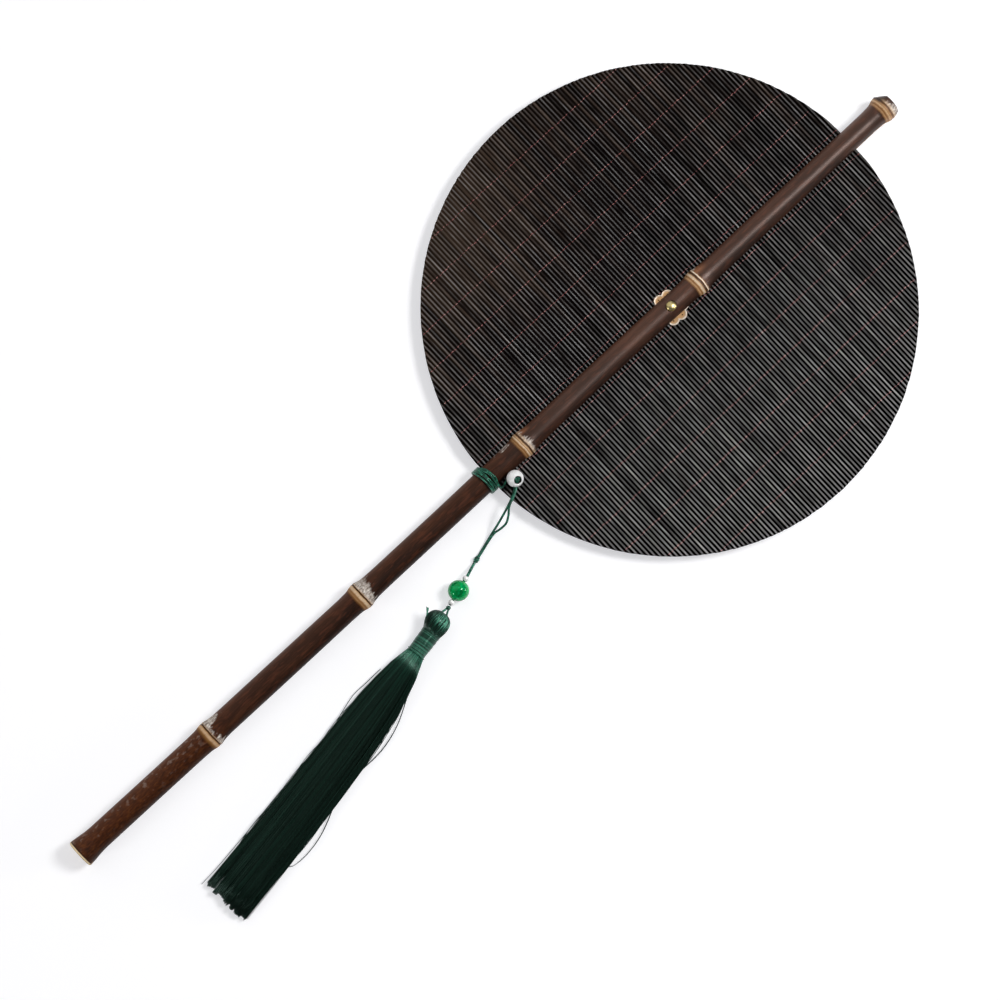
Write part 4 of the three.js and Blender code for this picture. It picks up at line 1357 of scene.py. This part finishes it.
slats, shades, shines = [], [], []
half_count = math.ceil(mat_radius / slat_pitch)
for i in range(-half_count, half_count):
    middle = (i + 0.5) * slat_pitch
    span = math.sqrt(max(0.0, mat_radius ** 2 - middle ** 2))
    if span < shortest_slat:
        continue
    x = np.linspace(-span, span, max(3, round(2 * span / slat_step)))
    roll = slat_lean + wander(x, roll_wander, roll_wave) + dice.normal(0, roll_spread)
    rise = wander(x, rise_wander, rise_wave) + dice.uniform(-deepest_sink, 0.0)
    across = np.outer(np.cos(roll), section[:, 0]) - np.outer(np.sin(roll), section[:, 1])
    height = np.outer(np.sin(roll), section[:, 0]) + np.outer(np.cos(roll), section[:, 1]) + rise[:, None]
    reach = np.sqrt(np.maximum(mat_radius ** 2 - (middle + across) ** 2, 0.1))
    uneven = 1 + dice.uniform(-rim_unevenness, 0.0, 2)[(x > 0).astype(int)] / span
    along = (x / span * uneven)[:, None] * reach
    slats.append(np.stack([along, mat_y + middle + across, axis_z + height], axis=2))
    towards_rim = np.interp(abs(middle), [90, 110], [0.0, 0.25])
    crest_edge = np.interp(x, left_to_right, [0.46, 0.60])
    crest = np.clip((crest_edge[:, None] - np.abs(section[:, 0])) / crest_fade, 0.0, 1.0)
    lit = np.interp(x, [-mat_radius, -25, 40], [0.42, 0.54, 0.53])
    luck = dice.normal() * np.interp(x, left_to_right, [0.15, 0.10])
    patches = wander(x, np.interp(x, left_to_right, [0.2, 0.10]), shine_wave)
    shines.append(np.clip(lit + patches + luck, 0.05, 1.0)[:, None] * crest)
    brown = 0.8 * dice.beta(1.6, 3.0) + towards_rim - 0.15 * x / mat_radius
    faded = np.interp(x, [-mat_radius, 10], [0.36, 0.0])
    faded += np.interp(x, [-90, -20], [0.42, 0.0]) * np.interp(middle, [-40, 10], [1.0, 0.0])
    # painted shade: the stain darkens from the crown towards the slat's sides and the grooves
    groove_shade_factor = np.interp(np.abs(section[:, 0]), [0.4, 0.9], [1.0, 0.3])
    shades.append(np.outer(brown, groove_shade_factor) + faded[:, None])
print(len(slats), "slats")

# %% [markdown]
# The stain soaks in unevenly: some slats stay brown, most are black, and fibres show as fine lengthwise
# lines. Rubbing has polished the crowns here and there, so the gloss comes and goes along each slat in
# short streaks, while the grooves stay dull and black: the stain is darkened towards each slat's sides as
# painted shade. An image of bamboo would repeat, so noise is drawn out along the slats, and each slat's
# stain with its painted shade, and its shine, are stored on its points.

# %% Stained slat
stained, tree = new_material("stained_bamboo_slat")
place = add_node(tree, "TexCoord").outputs["Object"]
slat_stain_and_painted_shade = add_node(tree, "Attribute", attribute_name="slat_stain_and_painted_shade").outputs["Fac"]
grain_map = add_node(tree, "Mapping", {"Vector": place, "Scale": per_mm(16, 0.28, 0.28)})
grain = add_node(tree, "TexNoise", {"Vector": grain_map.outputs[0], "Scale": 1.0, "Detail": 4.0})
blotch_map = add_node(tree, "Mapping", {"Vector": place, "Scale": per_mm(38, 9, 9)})
blotch = add_node(tree, "TexNoise", {"Vector": blotch_map.outputs[0], "Scale": 1.0, "Detail": 3.0})
patchy = add_node(tree, "MapRange", {"Value": blotch.outputs["Fac"], "To Min": -0.35, "To Max": 0.35})
level = add_node(tree, "Math", {0: slat_stain_and_painted_shade, 1: patchy.outputs[0]}, operation="ADD")
stain = add_node(tree, "ValToRGB", {"Fac": level.outputs[0]},
                 stops=[(0.0, "#030202"), (0.35, "#0e0a09"), (0.65, "#1e1714"), (1.0, "#43362d")])
line_part = add_node(tree, "MapRange", {"Value": grain.outputs["Fac"], "From Min": 0.4, "From Max": 0.7,
                                        "To Max": 0.6})
lined = add_node(tree, "Mix", {FACTOR: line_part.outputs[0], COLOUR_A: stain.outputs[0],
                               COLOUR_B: "#0b0807"}, data_type="RGBA")
slat_shine = add_node(tree, "Attribute", attribute_name="slat_shine").outputs["Fac"]
streak_map = add_node(tree, "Mapping", {"Vector": place, "Scale": per_mm(11, 1.0, 1.0)})
streak = add_node(tree, "TexNoise", {"Vector": streak_map.outputs[0], "Scale": 1.0, "Detail": 2.0})
rubbing = add_node(tree, "MapRange", {"Value": streak.outputs["Fac"], "From Min": 0.35, "From Max": 0.7,
                                      "To Min": 0.75, "To Max": 1.75})
shine = add_node(tree, "Math", {0: slat_shine, 1: rubbing.outputs[0]}, operation="MULTIPLY")
gloss = add_node(tree, "MapRange", {"Value": blotch.outputs["Fac"], "To Min": 0.36, "To Max": 0.42})
rubbed = add_node(tree, "BsdfPrincipled", {
    "Base Color": lined.outputs[MIXED], "Roughness": gloss.outputs[0], "IOR": 1.65,
    "Specular IOR Level": shine.outputs[0]})
add_node(tree, "OutputMaterial", {"Surface": rubbed.outputs["BSDF"]})
print("material:", stained.name)

# %% [markdown]
# The slats are sewn together and move as one, so they go into one mesh. Each could be an object of its
# own, but no slat ever moves alone.

# %% Slats, piece
slat_edge = math.radians(60)
slat_marks = {"slat_stain_and_painted_shade": thread_tones(slats, shades), "slat_shine": thread_tones(slats, shines)}
make_piece("slat_mat", skin(slats), "panel", stained, ["panel_mat"], slat_edge, slat_marks)

# %% [markdown]
# The mat is sewn with cotton, dyed dark red and faded to pink where it is rubbed. Cotton is matt and its
# fuzz scatters light, so it needs no gloss, only an uneven dye. Sheen could draw the fuzz, but at this
# size it would not show.

# %% Dyed cotton thread
cotton_fuzz = 1.1
cotton, tree = new_material("dyed_cotton_thread")
place = add_node(tree, "TexCoord").outputs["Object"]
fuzz = add_node(tree, "TexNoise", {"Vector": place, "Scale": per_mm(cotton_fuzz)[0], "Detail": 2.0})
dye = add_node(tree, "ValToRGB", {"Fac": fuzz.outputs["Fac"]},
               stops=[(0.36, "#60262c"), (0.5, "#945251"), (0.64, "#ca9a93")])
spun = add_node(tree, "BsdfPrincipled", {"Base Color": dye.outputs[0], "Roughness": 0.8, "IOR": 1.5})
add_node(tree, "OutputMaterial", {"Surface": spun.outputs["BSDF"]})
print("material:", cotton.name)

# %% [markdown]
# Rows of paired threads hold the slats, as on a bamboo blind: in each row one thread goes over a slat
# while the other goes under it, and they cross in the gap. A painted line would not stand up from the
# slats, so every thread is a thin tube that waves over and under. It swells on top of a slat and thins
# out in the gap, and a row shows as a line of dots.

# %% Stitches
row_spacing = 15.3
row_shift = -0.5
rows = 14
stitch_top = 0.76
over_slat = np.array([(-0.5, -0.3), (-0.28, 0.5), (0.0, 1.0), (0.28, 0.5)])
stitch_radii = np.array([0.07, 0.20, 0.28, 0.20])
stitch_shift = 0.12
dice = np.random.default_rng(22)
stitches = []
for row in range(rows):
    row_x = (row - (rows - 1) / 2) * row_spacing + row_shift
    first = math.ceil(-math.sqrt(mat_radius ** 2 - row_x ** 2) / slat_pitch)
    for way in (1, -1):
        line, radii = [], []
        for i in range(first, -first):
            sign = way if i % 2 else -way
            shift = dice.normal(0, stitch_shift)
            radii.append(stitch_radii * dice.uniform(0.8, 1.0))
            for gap, lift in over_slat:
                line.append((
                    row_x + way * stitch_shift * (1 - lift) + shift,
                    mat_y + (i + 0.5 + gap) * slat_pitch,
                    axis_z + sign * lift * stitch_top,
                ))
        stitches.append(tube(line, np.concatenate(radii), thread_sides))
make_piece("mat_stitches", skin(stitches), "panel", cotton)

# %% [markdown]
# Two stamped plates keep the mat from wearing on the rivet. They are brass with a rose-gold plating, matt
# from the stamp, rubbed pale on the rims and darker in the hollows. Two materials could do this, but the
# change is soft, so the points say how far they lie in a hollow, and that mixes the two tones.

# %% Rose brass
plating_cloud = 1.6
rose_brass, tree = new_material("rose_gold_plated_brass")
place = add_node(tree, "TexCoord").outputs["Object"]
cloud = add_node(tree, "TexNoise", {"Vector": place, "Scale": per_mm(plating_cloud)[0], "Detail": 4.0})
tone = add_node(tree, "ValToRGB", {"Fac": cloud.outputs["Fac"]},
                stops=[(0.3, "#dcc8b2"), (0.65, "#f2e6d8")])
hollow = add_node(tree, "Attribute", attribute_name="hollow").outputs["Fac"]
plated = over(tree, tone.outputs[0], "#b49068", hollow)
gloss = add_node(tree, "MapRange", {"Value": cloud.outputs["Fac"], "To Min": 0.55, "To Max": 0.7})
stamped = add_node(tree, "BsdfPrincipled", {
    "Base Color": plated, "Metallic": 1.0, "Roughness": gloss.outputs[0]})
add_node(tree, "OutputMaterial", {"Surface": stamped.outputs["BSDF"]})
print("material:", rose_brass.name)

# %% [markdown]
# Each plate is a flower of eight lobes with a raised rim and a small pierced hole in each, and one lies
# on each face of the mat. Blender could join eight discs, but the union of eight circles has a plain
# formula, which gives clean rings of faces. The holes are cut as the culm's were.

# %% Flower washers
lobes = 8
lobe_radius = 2.86
lobe_circle = 5.8
lobe_turn = math.radians(15.6)
pit_circle = 6.5
pit_radius = 0.35
eye_radius = 1.3
washer_gap = 0.15
mat_half = 0.9
steps_per_lobe = 24
pit_sides = 20
past_plate = 3.0
flower_edge = math.radians(50)
plate_section = [(0.0, 0.0), (0.0, 0.3), (0.12, 0.46), (0.3, 0.5), (0.5, 0.46), (0.75, 0.32), (1.2, 0.3)]
eye_section = [(4.2, 0.3), (eye_radius + 0.4, 0.3), (eye_radius, 0.26), (eye_radius, 0.0)]


def lobe_edge(turn):
    """How far the flower's outline is from its middle."""
    off_lobe = (turn - lobe_turn + math.pi / lobes) % (2 * math.pi / lobes) - math.pi / lobes
    aside = lobe_circle * np.sin(off_lobe)
    return lobe_circle * np.cos(off_lobe) + np.sqrt(lobe_radius ** 2 - aside ** 2)


def flower_washer(face_sign):
    """A flower plate that lies on the mat's front (1) or back (-1)."""
    turn = np.arange(lobes * steps_per_lobe) * 2 * math.pi / (lobes * steps_per_lobe)
    edge = lobe_edge(turn)
    rings = [(edge - inset, height) for inset, height in plate_section]
    rings += [(np.full_like(edge, radius), height) for radius, height in eye_section]
    points, rows = [], []
    foot = mat_half + washer_gap
    for reach, height in rings:
        z = np.full_like(turn, axis_z + face_sign * (foot + height))
        rows.append(len(points) * len(turn) + np.arange(len(turn)))
        points.append(np.stack([reach * np.cos(turn), mat_y + reach * np.sin(turn), z], axis=1))
    faces = []
    for low, high in zip(rows, rows[1:] + rows[:1]):
        faces += np.stack([low, np.roll(low, -1), np.roll(high, -1), high], axis=1).tolist()
    return np.vstack(points), faces


pits = []
for i in range(lobes):
    turn = lobe_turn + 2 * math.pi * i / lobes
    middle = np.array([pit_circle * math.cos(turn), mat_y + pit_circle * math.sin(turn), axis_z])
    pits.append(lathe(peg(pit_radius, -past_plate, past_plate), pit_sides, z_up, middle))
for name, face_sign in (("front_washer", 1), ("rear_washer", -1)):
    pierced = cut_away(flower_washer(face_sign), [joined(pits)])
    across, along = pierced[0][:, 0], pierced[0][:, 1] - mat_y
    inset = lobe_edge(np.arctan2(along, across)) - np.hypot(across, along)
    make_piece(name + "_flower", pierced, "handle", rose_brass, [name], flower_edge,
               {"hollow": np.interp(inset, [0.6, 1.0], [0, 1])})

# %% [markdown]
# The rivet is brass, polished by the punch that closed it. Brass tarnishes warm, so its colour drifts a
# little, and fine scratches blur what it mirrors. A clean mirror would look like new gold.

# %% Polished brass
brass_cloud = 1.2
brass, tree = new_material("polished_brass")
place = add_node(tree, "TexCoord").outputs["Object"]
cloud = add_node(tree, "TexNoise", {"Vector": place, "Scale": per_mm(brass_cloud)[0], "Detail": 4.0})
tone = add_node(tree, "ValToRGB", {"Fac": cloud.outputs["Fac"]}, stops=[(0.3, "#d0b870"), (0.6, "#e6d49a")])
gloss = add_node(tree, "MapRange", {"Value": cloud.outputs["Fac"], "To Min": 0.34, "To Max": 0.38})
polished = add_node(tree, "BsdfPrincipled", {
    "Base Color": tone.outputs[0], "Metallic": 1.0, "Roughness": gloss.outputs[0]})
add_node(tree, "OutputMaterial", {"Surface": polished.outputs["BSDF"]})
print("material:", brass.name)

# %% [markdown]
# The rivet's shank goes through handle, plates and mat. In front it has a low dome for a head, and a
# small cap closes its other end. A squashed ball would do for the dome, but a lathe outline also gives
# the seat below it and the socket in the cap.

# %% Rivet
head_radius = 2.5
shank_radius = 1.0
shank_end = -5.95
head_seat = rivet_height - seat_depth + 0.15
head_height = 1.58
head_edge = 0.12
cap_height = 1.1
socket_radius = 1.15
socket_depth = 0.85


def dome(radius, height, steps=10):
    """A low dome from its edge to its top."""
    angles = np.linspace(0, math.pi / 2, steps)
    return [(radius * math.cos(a) if a < math.pi / 2 - 1e-6 else 0.0, height * math.sin(a)) for a in angles]


head = [(r, head_seat + head_edge + h) for r, h in dome(head_radius, head_height)]
rivet_outline = [(0.0, shank_end), (shank_radius, shank_end), (shank_radius, head_seat),
                 (head_radius - head_edge, head_seat), *head]
rivet_shape = lathe(rivet_outline, round_sides, z_up, rivet_place)
make_piece("rivet_with_head", rivet_shape, "handle", brass, ["pivot_rivet"], SHARP)
cap_outline = [(0.0, socket_depth), (socket_radius, socket_depth), (socket_radius, 0.0),
               *dome(head_radius, cap_height)]
cap_place = rivet_place - np.array([0.0, 0.0, head_seat])
cap_shape = lathe(cap_outline, round_sides, (0.0, 0.0, -1.0), cap_place)
make_piece("rivet_end_cap", cap_shape, "handle", brass, ["rivet_cap"], SHARP)

# %% [markdown]
# Five turns of the same cord bind the culm where the kerf ends, so that the split can't run on. Behind,
# the turns lie close below the mat. In front they ride up a little and spread, and the cord's end runs
# over the mat's edge to the silver bead. Rings would be simpler, but a real cord shows where it starts
# and ends, so one route winds round the culm.

# %% Binding
binding_thickness = 1.0
binding_turns = 5
side_pitch = 0.78
front_pitch = 1.28
binding_radius = 6.5
binding_y = -5.2
front_side = 0.35
front_rise = 1.1
steps_per_turn = 28
binding_step = 0.32
slack_spread = 0.42
slack_lift = 0.3
tail = [(5.7, -1.9, 11.2), (7.1, -2.1, 9.9), (8.0, -1.7, 9.2), (8.1, -0.5, 9.0), (7.6, 1.0, 9.0),
        (7.2, 2.6, 9.0), (7.2, 3.9, 9.0)]
dice = np.random.default_rng(31)
t = np.arange(steps_per_turn // 2, (binding_turns + 0.1) * steps_per_turn) / steps_per_turn
facing = np.cos(2 * math.pi * t - front_side).clip(0, 1)
front = facing ** 2 * (3 - 2 * facing)
bends = np.arange(0, binding_turns + 2, 0.25)
uneven = np.interp(t, bends, dice.normal(0, slack_spread, len(bends))) * front
pitch = side_pitch + (front_pitch - side_pitch) * front
y = binding_y + (t - binding_turns / 2) * pitch + front_rise * front
reach = binding_radius + np.abs(uneven).clip(0, slack_lift)
turns_route = np.stack([
    bow_at(y) + reach * np.sin(2 * math.pi * t),
    y + uneven,
    axis_z + reach * np.cos(2 * math.pi * t),
], axis=1)
binding_route = smooth_route(np.vstack([turns_route, tail]), binding_step)
binding_rope = {"sides": 12, "plies": 3, "ply_depth": 0.1, "lay": 2.8}
binding_shape = skin([tube(binding_route, binding_thickness / 2, **binding_rope)])
make_piece("cord_binding", binding_shape, "handle", nylon, ["binding_cord"])
